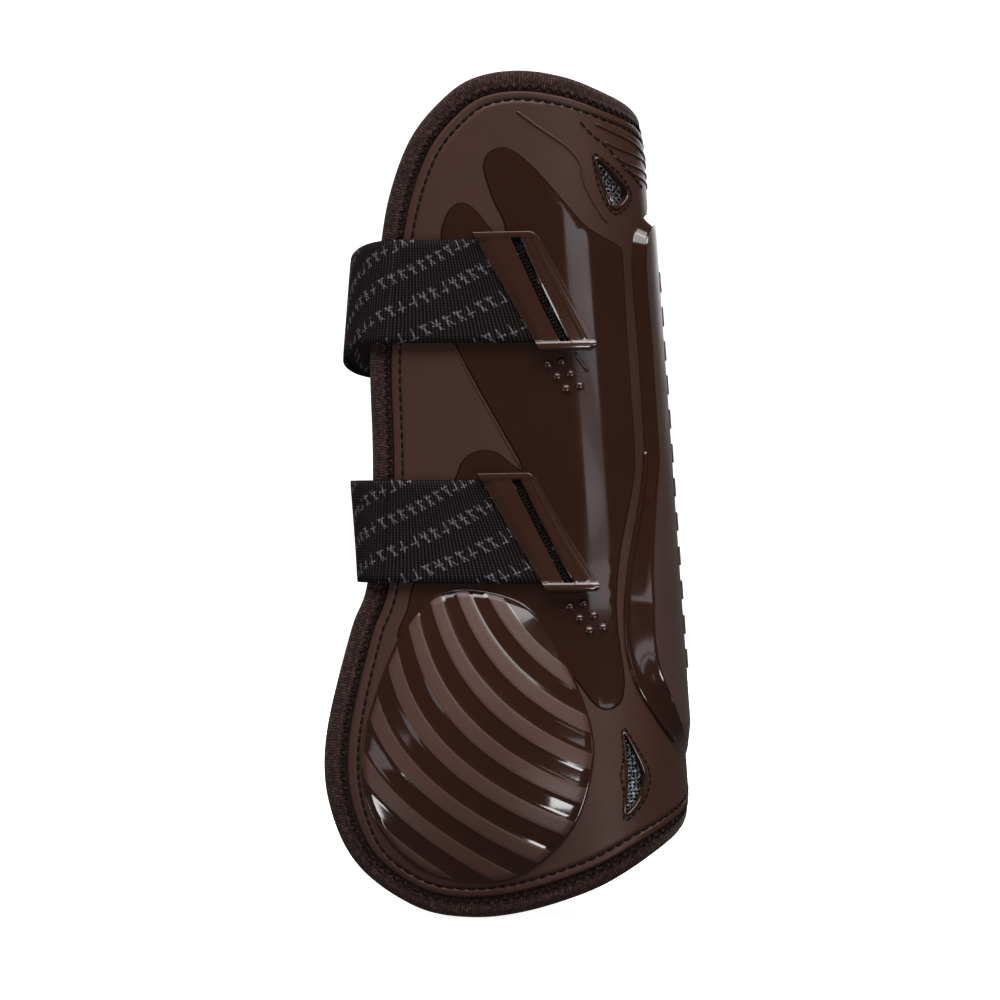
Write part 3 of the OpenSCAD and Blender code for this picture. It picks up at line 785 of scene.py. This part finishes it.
# %% Bars on the ridge
def round_edges(obj, width, angle):
    m = obj.modifiers.new("round", "BEVEL")
    m.width, m.segments, m.limit_method, m.angle_limit = width, 3, "ANGLE", math.radians(angle)
    return apply_all(obj)

def block(name, centre, size, bevel, cuts):
    """Rounded block: a cube primitive at its size and place, cut across and bevelled."""
    bpy.ops.mesh.primitive_cube_add(size=1, location=centre, scale=size)
    obj = bpy.context.object
    obj.name = obj.data.name = name
    bpy.ops.object.transform_apply(location=True, rotation=True, scale=True)
    bpy.ops.object.mode_set(mode="EDIT")
    bpy.ops.mesh.select_all(action="SELECT")
    bpy.ops.mesh.subdivide(number_cuts=cuts)
    bpy.ops.object.mode_set(mode="OBJECT")
    return round_edges(obj, bevel, 50)

TOP_BAR, BAR_PITCH, BAR_COUNT = 186, 10.2, 12
LONG_BAR, SHORT_BAR = (20, 5.6, 1.0), (15, 5.6, 1.0)
bars = []
for i in range(BAR_COUNT):
    z = TOP_BAR - BAR_PITCH * i
    place = (0, z, float(ridge_height(0.0, z)) + 0.05)
    bars.append(block("bar", place, SHORT_BAR if i % 2 else LONG_BAR, 0.45, 8))
finish_piece(wrap_piece(join("ridge_bars", bars)), ridge_skin, "boot", angle=40)

# %% [markdown]
# ## Strap brackets
# A raised bridge holds the sewn end of each strap, with a slot that the sewing goes through and
# six grip nubs below. The plate is a grid with the slot's faces deleted, made solid and
# bevelled; a second, U-shaped grid drops from it to the shell, so the strap can run beneath.

# %% Bracket plates and walls
STRAP_LOW, STRAP_TOP = 1.2, 2.7
PLATE_LOW, PLATE_TOP = 2.85, 4.35
UPPER_BRACKET = [(54.3, 199), (72.2, 198.7), (55.6, 164.3), (40.4, 164.7)]
LOWER_BRACKET = [(60, 128.9), (76, 128.6), (58.3, 94.4), (44, 94.5)]
BRACKETS = {"upper": UPPER_BRACKET, "lower": LOWER_BRACKET}
SLOT = (0.37, 0.51)

def corner_at(Q, a, b):
    """Flat place inside four corners; a runs across and b down, both from 0 to 1."""
    Q = np.array(Q, float)
    a, b = np.asarray(a)[..., None], np.asarray(b)[..., None]
    return (1 - a) * (1 - b) * Q[0] + a * (1 - b) * Q[1] + a * b * Q[2] + (1 - a) * b * Q[3]

def drop_faces(obj, gone):
    """Deletes the faces whose flat centre satisfies gone(x, y)."""
    activate(obj)
    bpy.ops.object.mode_set(mode="EDIT")
    bpy.ops.mesh.select_all(action="DESELECT")
    bpy.ops.object.mode_set(mode="OBJECT")
    for f in obj.data.polygons:
        f.select = bool(gone(f.center.x, f.center.y))
    bpy.ops.object.mode_set(mode="EDIT")
    bpy.context.tool_settings.mesh_select_mode = (False, False, True)
    bpy.ops.mesh.delete(type="FACE")
    bpy.ops.object.mode_set(mode="OBJECT")

def rounded(a, b, ra, rb):
    """Rounds the plate's back corners: square corner zones are pressed into quarter rounds."""
    x, y = (ra - a) / ra, (rb - np.minimum(b, 1 - b)) / rb
    zone = (x > 0) & (y > 0)
    k = np.where(zone, np.maximum(x, y) / np.maximum(np.hypot(x, y), 1e-9), 1)
    dist = np.where(zone, rb - rb * y * k, np.minimum(b, 1 - b))
    return np.where(zone, ra - ra * x * k, a), np.where(b < 0.5, dist, 1 - dist)

def surface(a, b):
    """Height over the plate's level: ledge over the strap, rims and the bar at the foot."""
    ledge = -0.95 * np.clip((a - 0.83) / 0.16, 0, 1) * np.clip((b - 0.06) / 0.02, 0, 1)
    foot = 0.75 * np.sqrt(np.clip(1 - ((b - 0.96) / 0.04) ** 2, 0, 1))
    top = 0.3 * np.sqrt(np.clip(1 - ((b - 0.025) / 0.03) ** 2, 0, 1))
    rim = 0.22 * np.exp(-((a - 0.13) / 0.025) ** 2) * np.clip((b - 0.05) * 20, 0, 1)
    return ledge * (b < 0.92) + np.maximum(foot, top) + rim * (b < 0.9)

def skewed(b):
    """How far the plate's middle leans at a height."""
    return 0.14 * b - 0.07

def cut_patch(name, nx, ny, gone, thick):
    """Unit square with faces cut away, made solid; also its vertices before it was solid."""
    obj = grid(name, nx, ny, lambda fx, fy: (fx, 1 - fy, fx * 0))
    drop_faces(obj, gone)
    a, b = get_points(obj)[:, :2].T
    return thicken(obj, thick), a, b

def bracket_plate(Q):
    obj, a, b = cut_patch("plate", 50, 80, in_slot, PLATE_TOP - PLATE_LOW)
    at_slot = (np.abs(a - SLOT[0]) < 0.012) & (b > 0.05) & (b < 0.93)
    a2, b2 = rounded(a, b, 0.15, 0.075)
    a2 = a2 + skewed(b) * np.sin(math.pi * a)
    over = np.c_[corner_at(Q, a2 - 0.075 * at_slot, b2), PLATE_TOP + surface(a, b)]
    under = np.c_[corner_at(Q, a2, b2), np.where(at_slot, PLATE_TOP - 0.75, PLATE_LOW)]
    set_points(obj, np.vstack([over, under]))
    return round_edges(obj, 0.28, 50)

def bracket_walls(Q):
    top, low = PLATE_LOW + 0.2, -0.2
    obj, a, b = cut_patch("walls", 25, 44, between_walls, top - low)
    q = corner_at(Q, a, b)
    set_points(obj, np.vstack([np.c_[q, np.full(len(q), z)] for z in (top, low)]))
    return obj

def in_slot(x, y):
    return SLOT[0] < x < SLOT[1] and 0.055 < y < 0.925

def between_walls(x, y):
    return x > 0.14 and 0.045 < y < 0.955 or x < 0.04 and not 0.07 < y < 0.93

bracket_skin = moulded("bracket moulding", "2e180f", "371e14", 0.16, 0.004, coat=0.3)
for name, Q in BRACKETS.items():
    piece = wrap_piece(join(f"{name}_bracket", [bracket_plate(Q), bracket_walls(Q)]))
    finish_piece(piece, bracket_skin, "boot", [f"{name}_strap_bracket"], angle=38)

GUIDE_PLACE, GUIDE_LEAN = (44.3, 161.2), math.radians(-32)
guide = block("guide_bar", (0, 0, 0.2), (1.1, 6.6, 1.2), 0.3, 3)
x, y, z = get_points(guide).T
c, s = math.cos(GUIDE_LEAN), math.sin(GUIDE_LEAN)
set_points(guide, np.c_[GUIDE_PLACE[0] + x * c - y * s, GUIDE_PLACE[1] + x * s + y * c, z])
finish_piece(wrap_piece(guide), bracket_skin, "boot", angle=40)

# %% Grip nubs
FIRST_NUBS = ((53.5, 160.4), (52.2, 90.1))
NUB_RADIUS, NUB_RISE = 1.35, 1.1

def nub(u, z):
    bpy.ops.mesh.primitive_uv_sphere_add(segments=20, ring_count=12, location=(u, z, 0.2),
                                         scale=(NUB_RADIUS, NUB_RADIUS, NUB_RISE))
    bpy.ops.object.transform_apply(location=True, rotation=True, scale=True)
    return bpy.context.object

nubs = [nub(u - 3.8 * column - 2.3 * row, z + 0.8 * column - 3.5 * row)
        for u, z in FIRST_NUBS for column in range(2) for row in range(3)]
finish_piece(wrap_piece(join("nubs", nubs)), bracket_skin, "boot", ["grip_nubs"])

# %% [markdown]
# ## Vents
# A woven mesh shows through each vent. Every yarn is a thin wavy cord, cut to the panel's
# outline; the opening has a rounded lip on the shell.

# %% Vent mesh and lips
YARN, WEAVE, YARN_WAVE, MESH_T = 0.24, 1.1, 0.17, -2.6

def woven_panel(name, ring, mirrored):
    """Two crossing sets of wavy cords, cut to the ring."""
    lo, hi = ring.min(0), ring.max(0)
    cords = []
    for way in (0, 1):
        w = np.arange(lo[1 - way], hi[1 - way], WEAVE / 4)
        lift = (w - lo[1 - way]) / WEAVE * math.pi
        for k, v in enumerate(np.arange(lo[way], hi[way], WEAVE)):
            line = np.stack([np.full(len(w), v), w] if way == 0 else [w, np.full(len(w), v)], -1)
            keep = np.flatnonzero(inside(line, ring))
            if len(keep) < 6:
                continue
            part = slice(keep[0], keep[-1] + 1)
            t = MESH_T + YARN_WAVE * np.sin(lift[part] + math.pi * (k + way))
            cords.append(sweep("yarn", line[part], t, YARN, YARN * 1.3, 5, mirrored=mirrored))
    return join(name, cords)

lips = []
for level, (P, centre) in VENTS.items():
    for side, m in (("medial", False), ("lateral", True)):
        panel = woven_panel(f"{level}_mesh_{side}", vent_ring(P, centre, 2.0), m)
        finish_piece(panel, mesh_yarn, "boot", [f"{level}_vent_mesh_{side}"])
        ring = even_ring(vent_ring(P, centre, 0.15), 0.8)
        lips.append(sweep("lip", ring, 0.05, 0.45, 0.55, 8, closed=True, mirrored=m))
finish_piece(join("vent_lips", lips), gloss, "boot")

# %% [markdown]
# ## Sewing
# One stitch is a capsule, made from a sphere primitive, and is copied along each seam with its
# ends dipping into the groove. The edge band has a zigzag, and the bracket slots a close braid.

# %% Stitches along a path
def capsule(length, radius):
    """Vertices and faces of one stitch along x, with its ends dipping down."""
    bpy.ops.mesh.primitive_uv_sphere_add(segments=8, ring_count=6, radius=radius)
    obj = bpy.context.object
    co = get_points(obj)[:, [2, 0, 1]]
    co[:, 0] += np.sign(np.round(co[:, 0], 6)) * (length / 2 - radius)
    co[:, 2] -= 0.35 * (2 * co[:, 0] / length) ** 2
    faces = [tuple(p.vertices) for p in obj.data.polygons]
    bpy.data.objects.remove(obj)
    return co, faces

def left_of(d):
    return np.stack([-d[:, 1], d[:, 0]], -1)

def stitches(name, path, pitch, length, radius, t, closed=False, slant=0.0, shift=0.0,
             sides=(False,)):
    """Stitches along a flat path; slant turns every other one the other way."""
    shape, faces = capsule(length, radius)
    P = np.vstack([path, path[:1]]) if closed else path
    L = lengths(P)[-1]
    n = max(1, int(L / pitch))
    f = (np.arange(n) + 0.5) / n
    here = at(P, f)
    d = at(P, np.clip(f + 0.3 / L, 0, 1)) - here
    d /= np.maximum(np.linalg.norm(d, axis=1, keepdims=True), 1e-9)
    turn = (np.radians(slant) * np.where(np.arange(n) % 2, 1, -1))[:, None]
    along = d * np.cos(turn) + left_of(d) * np.sin(turn)
    q = ((here + left_of(d) * shift)[:, None] + along[:, None] * shape[None, :, :1]
         + left_of(along)[:, None] * shape[None, :, 1:2])
    t3 = np.broadcast_to(t + shape[None, :, 2], q.shape[:2])
    flat = np.concatenate([q, t3[..., None]], -1).reshape(-1, 3)
    k, objs = len(shape), []
    for m in sides:
        obj = new_piece(name, flat, [tuple(v + j * k for v in f) for j in range(n) for f in faces])
        bm = bmesh.new()
        bm.from_mesh(obj.data)
        bmesh.ops.recalc_face_normals(bm, faces=bm.faces)
        bm.to_mesh(obj.data)
        bm.free()
        objs.append(wrap_piece(obj, m))
    return join(name, objs) if len(objs) > 1 else objs[0]

def sew(piece, body, nodes=()):
    finish_piece(piece, dark_thread, body, nodes)

sew(stitches("perimeter_seam", both_sides(inset(SEW_LINE)), 2.7, 2.3, 0.3, -0.1, closed=True),
    "boot", ["perimeter_stitching"])
vent_rows = []
for P, centre in VENTS.values():
    ring = even_ring(vent_ring(P, centre, 1.6), 0.5)
    vent_rows.append(stitches("row", ring, 2.0, 1.7, 0.26, 0.2, closed=True, sides=BOTH))
sew(join("vent_seams", vent_rows), "boot", ["vent_stitching"])
FLEX = curve([(40.6, 231.5), (37.6, 228), (33.5, 224.8), (25, 217.8), (16, 213.2)], 5)
sew(stitches("flex_seam", FLEX, 2.6, 2.2, 0.28, 0.25, sides=BOTH), "boot", ["flex_seam_stitching"])
SLOT_MIDDLE, BRAID_GAP = 0.445, 0.42
for name, Q in BRACKETS.items():
    b = np.linspace(0.075, 0.9, 30)
    line = corner_at(Q, SLOT_MIDDLE + skewed(b) * 0.98, b)
    braid = [stitches("braid", line, 1.05, 1.5, 0.32, STRAP_TOP + 0.45, slant=48, shift=v)
             for v in (-BRAID_GAP, BRAID_GAP)]
    sew(join(f"{name}_anchor_braid", braid), "boot", [f"{name}_anchor_stitching"])

# %% [markdown]
# ## Edge band
# A knitted band is rolled over the edge of all the layers. It is swept as a full oval whose knit
# follows the sweep's UV map. A low flange runs from it under the shell's rim, and a dark zigzag
# holds its inner half down.

# %% Edge band and its zigzag
def band_path(d):
    return even_ring(both_sides(inset(d)), 1.1)

band = sweep("edge_band", band_path(BAND / 2), -4.05, 3.35, 3.05, 22, closed=True, shape=2.3)
finish_piece(band, binding_knit, "boot", ["edge_binding"])
flange = sweep("band_flange", band_path(BAND - 1.3), -1.55, 0.85, 1.5, 12, closed=True, shape=2.6)
finish_piece(flange, binding_knit, "boot")
sew(stitches("band_zigzag", both_sides(inset(BAND - 1.1)), 1.3, 2.1, 0.3, -0.55, closed=True,
             slant=50), "boot")

# %% [markdown]
# ## Elastic straps
# Each strap is one band of ribbed elastic, sewn under its bracket, carried round the open front
# and pinned on the outer side. Its ribs are real ridges one millimetre apart, and its colour is
# painted darker in the grooves between them as shade. The straps of the real boot are printed;
# here plain grey strokes stand in slanting rows, and a cell noise picks which strokes each cell
# gets.

# %% Strap finish
KNIT_LOOP, CELL, ROW = 0.8, 3.7, 9.5
STROKE, HALF_STROKE, HALF_DASH = 0.24, 1.9, 1.25

def elastic():
    f = Finish("ribbed elastic", 0.9, sheen=0.0, spec=0.15)
    x0, y0 = f.add("ShaderNodeSeparateXYZ", (f.place(uv=True), 0)).outputs[:2]

    def wave(v, period):
        turn = f.math("MULTIPLY", v, 2 * math.pi / period)
        return f.math("MULTIPLY_ADD", f.math("COSINE", turn), 0.5, 0.5)

    def within(v, d):
        return f.math("LESS_THAN", f.math("ABSOLUTE", v), d)

    def both(a, b):
        return f.math("MULTIPLY", a, b)

    def inside_cell(v, size):
        return f.math("MULTIPLY", f.math("SUBTRACT", f.math("FRACT", v), 0.5), size)

    rib, loops = wave(x0, 1.0), wave(y0, KNIT_LOOP)
    # The colour follows the ribs: the grooves between them are painted dark as shade, while the
    # knit loops and the noise are the elastic's own tone.
    cloth = both(rib, f.math("MULTIPLY_ADD", loops, 0.45, 0.55))
    cloth = f.math("MULTIPLY_ADD", f.noise(1500, 3), 0.35, both(cloth, 0.8))
    # slanting cells; each one may hold an upright, a dash and a slash
    cell = f.math("DIVIDE", f.math("MULTIPLY_ADD", y0, -0.4, x0), CELL)
    row = f.math("DIVIDE", f.math("MULTIPLY_ADD", x0, 0.42, y0), ROW)
    pair = f.add("ShaderNodeCombineXYZ", (f.math("FLOOR", cell), 0), (f.math("FLOOR", row), 1))
    one = f.add("ShaderNodeTexWhiteNoise", (pair.outputs[0], "Vector")).outputs["Value"]
    two = f.math("FRACT", f.math("MULTIPLY", one, 17.3))
    x, y = inside_cell(cell, CELL), inside_cell(row, ROW)
    upright = f.math("SUBTRACT", x, f.math("MULTIPLY_ADD", one, 1.6, -0.8))
    dash = f.math("SUBTRACT", y, f.math("MULTIPLY_ADD", two, 3.0, -1.5))
    slash = f.math("SUBTRACT", x, f.math("MULTIPLY", y, 0.65))
    upright = both(within(upright, STROKE), within(y, HALF_STROKE))
    dash = both(within(dash, STROKE), within(x, HALF_DASH))
    slash = both(within(slash, STROKE + 0.02), within(y, HALF_STROKE))
    slash = both(slash, f.math("GREATER_THAN", two, 0.5))
    stroke = f.math("MAXIMUM", f.math("MAXIMUM", upright, dash), slash)
    # The strokes are dimmed in the grooves by the same painted shade.
    stroke = both(stroke, f.math("MULTIPLY_ADD", cloth, 0.75, 0.05))
    base = f.ramp(cloth, [(0.2, "020101"), (0.55, "0d0808"), (1.0, "3e3031")])
    mix = f.add("ShaderNodeMixRGB", (stroke, 0), (base, 1), Color2=tint("80808a"))
    f.colour(mix.outputs[0])
    f.bump(both(rib, f.math("MULTIPLY_ADD", loops, 0.5, 0.5)), 0.22 * MM)
    return f.mat

elastic_mat = elastic()

# %% Strap sheets
HALF_STRAP = 15.0
UPPER = dict(sewn=181.8, pinned=173.2, front=-55, front_slope=0.077, leave=96.5,
             leave_slope=-0.17, start=(57.8, 44), end=76, hinge_y=33.7)
LOWER = dict(sewn=111.8, pinned=111.8, front=-53, front_slope=-0.082, leave=102.6,
             leave_slope=-0.07, start=(63.2, 47.4), end=76, hinge_y=32.6)
STRAPS = {"upper": UPPER, "lower": LOWER}
HINGE_X, PULL_OUT, PULL_ROUND = -41.0, 7, 14

def leave_at(S, z):
    """How far round the leg the strap lies on the shell, at a height."""
    return S["leave"] + S["leave_slope"] * (z - S["sewn"])

def nose(S, z, f, t):
    """Place on the free arc round the open front; f runs from the inner side to the middle."""
    leave = leave_at(S, z)
    a, k = wrap(leave, z, 0)[:, :2], wrap(leave + 0.1, z, 0)[:, :2]
    b = a + PULL_OUT * (k - a) / np.linalg.norm(k - a, axis=1, keepdims=True)
    d = np.stack([S["front"] + S["front_slope"] * (z - S["sewn"]), z * 0], -1)
    c, g, f = d - (0, PULL_ROUND), (1 - f)[:, None], f[:, None]
    q = g ** 3 * a + 3 * g * g * f * b + 3 * g * f * f * c + f ** 3 * d
    v = g * g * (b - a) + 2 * g * f * (c - b) + f * f * (d - c)
    v /= np.linalg.norm(v, axis=1, keepdims=True)
    return np.stack([q[:, 0] - t * v[:, 1], q[:, 1] + t * v[:, 0], z], -1)

def strap_at(S, w, h, t):
    """w: 0 to 1 on the sewn side, 1 to 2 round the front, 2 to 3 on the pinned side."""
    f = np.clip(w - 1, 0, 1)
    z = S["sewn"] + h + (S["pinned"] - S["sewn"]) * f * f * (3 - 2 * f)
    leave, (top, foot) = leave_at(S, z), S["start"]
    start = foot + (top - foot) * (h + HALF_STRAP) / (2 * HALF_STRAP)
    near = wrap(start + (leave - start) * np.clip(w, 0, 1), z, t)
    far = wrap(-(leave + (S["end"] - leave) * np.clip(w - 2, 0, 1)), z, t)
    arc = nose(S, z, np.where(w < 1.5, 2 * f, 2 * (1 - f)), t)
    arc[:, 1] *= np.where(w < 1.5, 1, -1)
    w = w[:, None]
    return np.where(w < 1, near, np.where(w < 2, arc, far))

RIB, SAMPLES, RIB_DEPTH, EDGE_FLAT = 1.0, 6, 0.1, 1.2

def make_strap(name, S):
    """Ribbed sheet with its knit in the UV map; also its length."""
    dense = np.linspace(0, 3, 1500)
    L = lengths(strap_at(S, dense, dense * 0, np.full(len(dense), STRAP_TOP)))
    obj = grid(name, int(L[-1] / RIB * SAMPLES), 14, lambda fx, fy: (fx, fy, fx * 0))
    co = get_points(obj)
    s, h = co[:, 0] * L[-1], (co[:, 1] - 0.5) * 2 * HALF_STRAP
    w = np.interp(s, L, dense)
    fade = np.clip((HALF_STRAP - np.abs(h)) / EDGE_FLAT, 0, 1)
    rib = RIB_DEPTH * np.cos(2 * math.pi * s / RIB) * fade
    set_points(obj, strap_at(S, w, h, STRAP_TOP - RIB_DEPTH + rib) * MM)
    obj.data.flip_normals()
    loops = np.zeros(len(obj.data.loops), int)
    obj.data.loops.foreach_get("vertex_index", loops)
    obj.data.uv_layers[0].data.foreach_set("uv", np.stack([s[loops], h[loops]], -1).ravel())
    thicken(obj, 1.3 * MM)
    back = strap_at(S, w, h, STRAP_LOW + 0.06 - 0.6 * rib) * MM
    set_points(obj, np.vstack([get_points(obj)[:len(back)], back]))
    print(name, "length", round(L[-1]), "mm")
    return obj, L[-1]

for level, S in STRAPS.items():
    strap, long = make_strap(f"{level}_elastic", S)
    finish_piece(strap, elastic_mat, None, [f"{level}_strap", f"{level}_strap_end"])
    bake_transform(strap)

# %% [markdown]
# ## End tabs and pins
# On the outer side each strap ends in a moulded tab whose eyelets go over steel pins. The tab is
# a flat grid whose corner faces are deleted and whose border is pulled onto a round, then it is
# made solid and bevelled, and its eyelets are cut before it is bent round the leg.

# %% End tabs
TAB_LOW, TAB_TOP, TAB_CORNER = 2.85, 4.65, 5.0
TAB_MIDDLE, TAB_LONG, TAB_HIGH = 66, 36, 26
PIN_ROWS, PIN_SPREAD, EYELET = (53.5, 62.0), 7.0, 3.6
SEAM_MIDDLE, SEAM_HALF_LONG, SEAM_HALF_HIGH = 78, 3.2, 9.5

def tab_plate(name, z):
    """Flat plate whose corners are rounded about the corners of a smaller rectangle."""
    middle = np.array([TAB_MIDDLE, z])
    half = np.array([TAB_LONG, TAB_HIGH]) / 2 - TAB_CORNER
    obj = grid(name, 48, 36, lambda fx, fy: (TAB_MIDDLE + TAB_LONG * (fx - 0.5),
                                             z + TAB_HIGH * (fy - 0.5), fx * 0 + TAB_TOP))
    drop_faces(obj, lambda x, y: np.hypot(*np.maximum(np.abs((x, y) - middle) - half, 0))
               > TAB_CORNER + 0.2)
    co = get_points(obj)
    core = np.clip(co[:, :2] - middle, -half, half)
    arm = co[:, :2] - middle - core
    far = np.linalg.norm(arm, axis=1, keepdims=True)
    arm = arm / np.maximum(far, 1e-6) * np.where(far > TAB_CORNER - 0.9, TAB_CORNER, far)
    co[:, :2] = middle + core + arm
    set_points(obj, co)
    return round_edges(thicken(obj, TAB_TOP - TAB_LOW), 0.5, 60)

def eyelet(u, z):
    bpy.ops.mesh.primitive_cylinder_add(vertices=48, radius=EYELET, depth=8, location=(u, z, 3.7))
    bpy.ops.object.transform_apply(location=True, rotation=False, scale=False)
    return bpy.context.object

for level, S in STRAPS.items():
    z, body = S["pinned"], f"{level}_strap_end"
    tab = tab_plate(f"{level}_tab", z)
    cut(tab, [eyelet(u, z + dz) for u in PIN_ROWS for dz in (-PIN_SPREAD, PIN_SPREAD)])
    finish_piece(wrap_piece(tab, True), gloss, body, [f"{level}_end_tab"], angle=40)
    a = np.arange(40) * 2 * math.pi / 40
    box = np.stack([SEAM_MIDDLE + SEAM_HALF_LONG * power(np.cos(a), 0.5),
                    z + SEAM_HALF_HIGH * power(np.sin(a), 0.5)], -1)
    seam = stitches(f"{level}_tab_seam", box, 2.4, 2.0, 0.3, TAB_TOP + 0.2, closed=True,
                    sides=(True,))
    sew(seam, body, [f"{level}_tab_stitching"])

# %% CAD pieces that stay
KEPT = {"upper_pin_plate": gloss, "lower_pin_plate": gloss, "fastening_pins": pin_steel}
for name, mat in KEPT.items():
    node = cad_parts[name]
    node.data.materials.clear()
    node.data.materials.append(mat)

# %% [markdown]
# ## Foam and lining
# The foam is a plain moulded sheet with a shallow pocket behind each vent. The knitted lining is
# padded: its inner face is blown out a little by a short cloth simulation, with the face on the
# foam and the border held, so it rolls softly.

# %% Foam and lining
def textile(name, dark, light, grain, depth):
    f = Finish(name, 0.9, sheen=0.3)
    f.colour(f.ramp(f.noise(grain, 3, 0.6), [(0.3, dark), (0.7, light)]))
    f.bump(f.noise(grain * 1.5, 3, 0.6), depth * MM)
    return f.mat

foam_mat = textile("cell foam", "120d0c", "221a18", 1100, 0.2)
lining_mat = textile("lining knit", "1a1211", "342724", 1300, 0.15)
FOAM_TOP, FOAM_THICK = -2.1, 3.8
foam = bordered_sheet("foam_sheet", 70, 66, [(9.0, FOAM_TOP), (4.9, FOAM_TOP)], FOAM_THICK)
cut(foam, vent_cutters(2.5, -3.3, 1.0))
wrap_piece(foam)
finish_piece(foam, foam_mat, "boot", ["shock_foam"], angle=40)

LINING_TOP, LINING_THICK, HELD_ABOVE, SWELL_CAP = -6.0, 1.7, -7.0, 1.2
LINING_EDGE = [(10.0, LINING_TOP), (8.0, LINING_TOP), (6.6, LINING_TOP), (4.6, -5.2)]
lining = bordered_sheet("lining_pad", 84, 90, LINING_EDGE, LINING_THICK)
flat_t = get_points(lining)[:, 2].copy()
wrap_piece(lining)

CLOTH_FRAMES = 20

def puff(obj, held, cap):
    """Short cloth run: pressure swells the free faces, then the move is capped and applied."""
    before = get_points(obj)
    group = obj.vertex_groups.new(name="held")
    for i, w in enumerate(held):
        if w > 0:
            group.add([i], float(w), "REPLACE")
    m = obj.modifiers.new("cloth", "CLOTH")
    c = m.settings
    c.use_pressure, c.uniform_pressure_force = True, 4.0
    c.vertex_group_mass, c.mass = "held", 0.15
    c.tension_stiffness = c.compression_stiffness = 8
    c.effector_weights.gravity = 0
    m.point_cache.frame_start, m.point_cache.frame_end = 1, CLOTH_FRAMES
    for f in range(1, CLOTH_FRAMES + 1):
        bpy.context.scene.frame_set(f)
    deps = bpy.context.evaluated_depsgraph_get()
    after = np.array([tuple(v.co) for v in obj.evaluated_get(deps).data.vertices])
    obj.modifiers.remove(m)
    obj.vertex_groups.clear()
    bpy.context.scene.frame_set(1)
    move = after - before
    size = np.linalg.norm(move, axis=1, keepdims=True)
    move *= np.minimum(1, cap * MM / np.maximum(size, 1e-9))
    set_points(obj, before + move)
    print("swelled by up to", round(float(size.max()) / MM, 2), "mm before the cap")

puff(lining, (flat_t > HELD_ABOVE).astype(float), SWELL_CAP)
finish_piece(lining, lining_mat, "boot", ["inner_lining"])

# %% [markdown]
# ## Studio
# Three large softboxes above and one behind light the boot evenly. The small ones stand where the
# polished faces mirror them toward the lens, so they draw the highlights on the domes and the
# leaves. The white paper glows a little and stays out of reflections and shadows.

# %% Studio
FLOOR_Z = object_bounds()[0][2] - 0.0005
paper = bpy.data.materials.new("white paper")
paper.use_nodes = True
for key, v in (("Base Color", (0.85, 0.85, 0.85, 1)), ("Roughness", 0.9),
               ("Emission Color", (1, 1, 1, 1)), ("Emission Strength", 0.95)):
    paper.node_tree.nodes["Principled BSDF"].inputs[key].default_value = v

def paper_sheet(name, place, turn):
    bpy.ops.mesh.primitive_plane_add(size=8, location=place, rotation=(turn, 0, 0))
    obj = bpy.context.object
    obj.name = name
    obj.data.materials.append(paper)
    obj.visible_glossy = obj.visible_diffuse = obj.visible_shadow = False

paper_sheet("floor", (0, 0, FLOOR_Z), 0)
paper_sheet("backdrop", (0, 2.5, 2), math.pi / 2)

world = bpy.data.worlds.new("studio")
world.use_nodes = True
sky = world.node_tree.nodes["Background"].inputs
sky["Color"].default_value, sky["Strength"].default_value = (1, 1, 1, 1), 0.1
bpy.context.scene.world = world
bpy.context.scene.view_settings.view_transform = "Standard"

LILAC, WHITE = (1, 0.93, 1), (1, 1, 1)
AIM = Vector((0, 0, 0.12))
SOFTBOXES = [("top", (0.0, -0.9, 1.35), (1.4, 0.8), 5.8, WHITE),
             ("high left", (-0.6, -0.55, 1.5), (0.9, 0.9), 4.5, WHITE),
             ("high right", (0.6, -0.55, 1.5), (0.9, 0.9), 5, WHITE),
             ("left", (-1.13, -0.76, 0.13), (0.42, 0.3), 1.3, LILAC),
             ("right high", (0.51, -1.08, 0.26), (0.44, 0.09), 1.8, LILAC),
             ("right low", (0.54, -1.06, 0.165), (0.4, 0.045), 1.9, LILAC),
             ("behind", (0.1, 1.4, 0.7), (1.2, 0.9), 6, WHITE),
             ("low left", (-1.0, -0.45, -0.357), (0.13, 0.2), 12, WHITE),
             ("glint", (0.41, -1.03, -0.24), (0.28, 0.3), 13, WHITE)]

def softbox(name, place, size, glow, tone):
    """Area light of a given brightness, whatever its size."""
    data = bpy.data.lights.new(name, "AREA")
    data.shape, data.size, data.size_y = "RECTANGLE", size[0], size[1]
    data.energy, data.color = glow * math.pi * size[0] * size[1], tone
    obj = bpy.data.objects.new(name, data)
    bpy.context.collection.objects.link(obj)
    obj.location = place
    obj.rotation_euler = (AIM - Vector(place)).to_track_quat("-Z", "Y").to_euler()

for box in SOFTBOXES:
    softbox(*box)
print(len(SOFTBOXES), "softboxes")
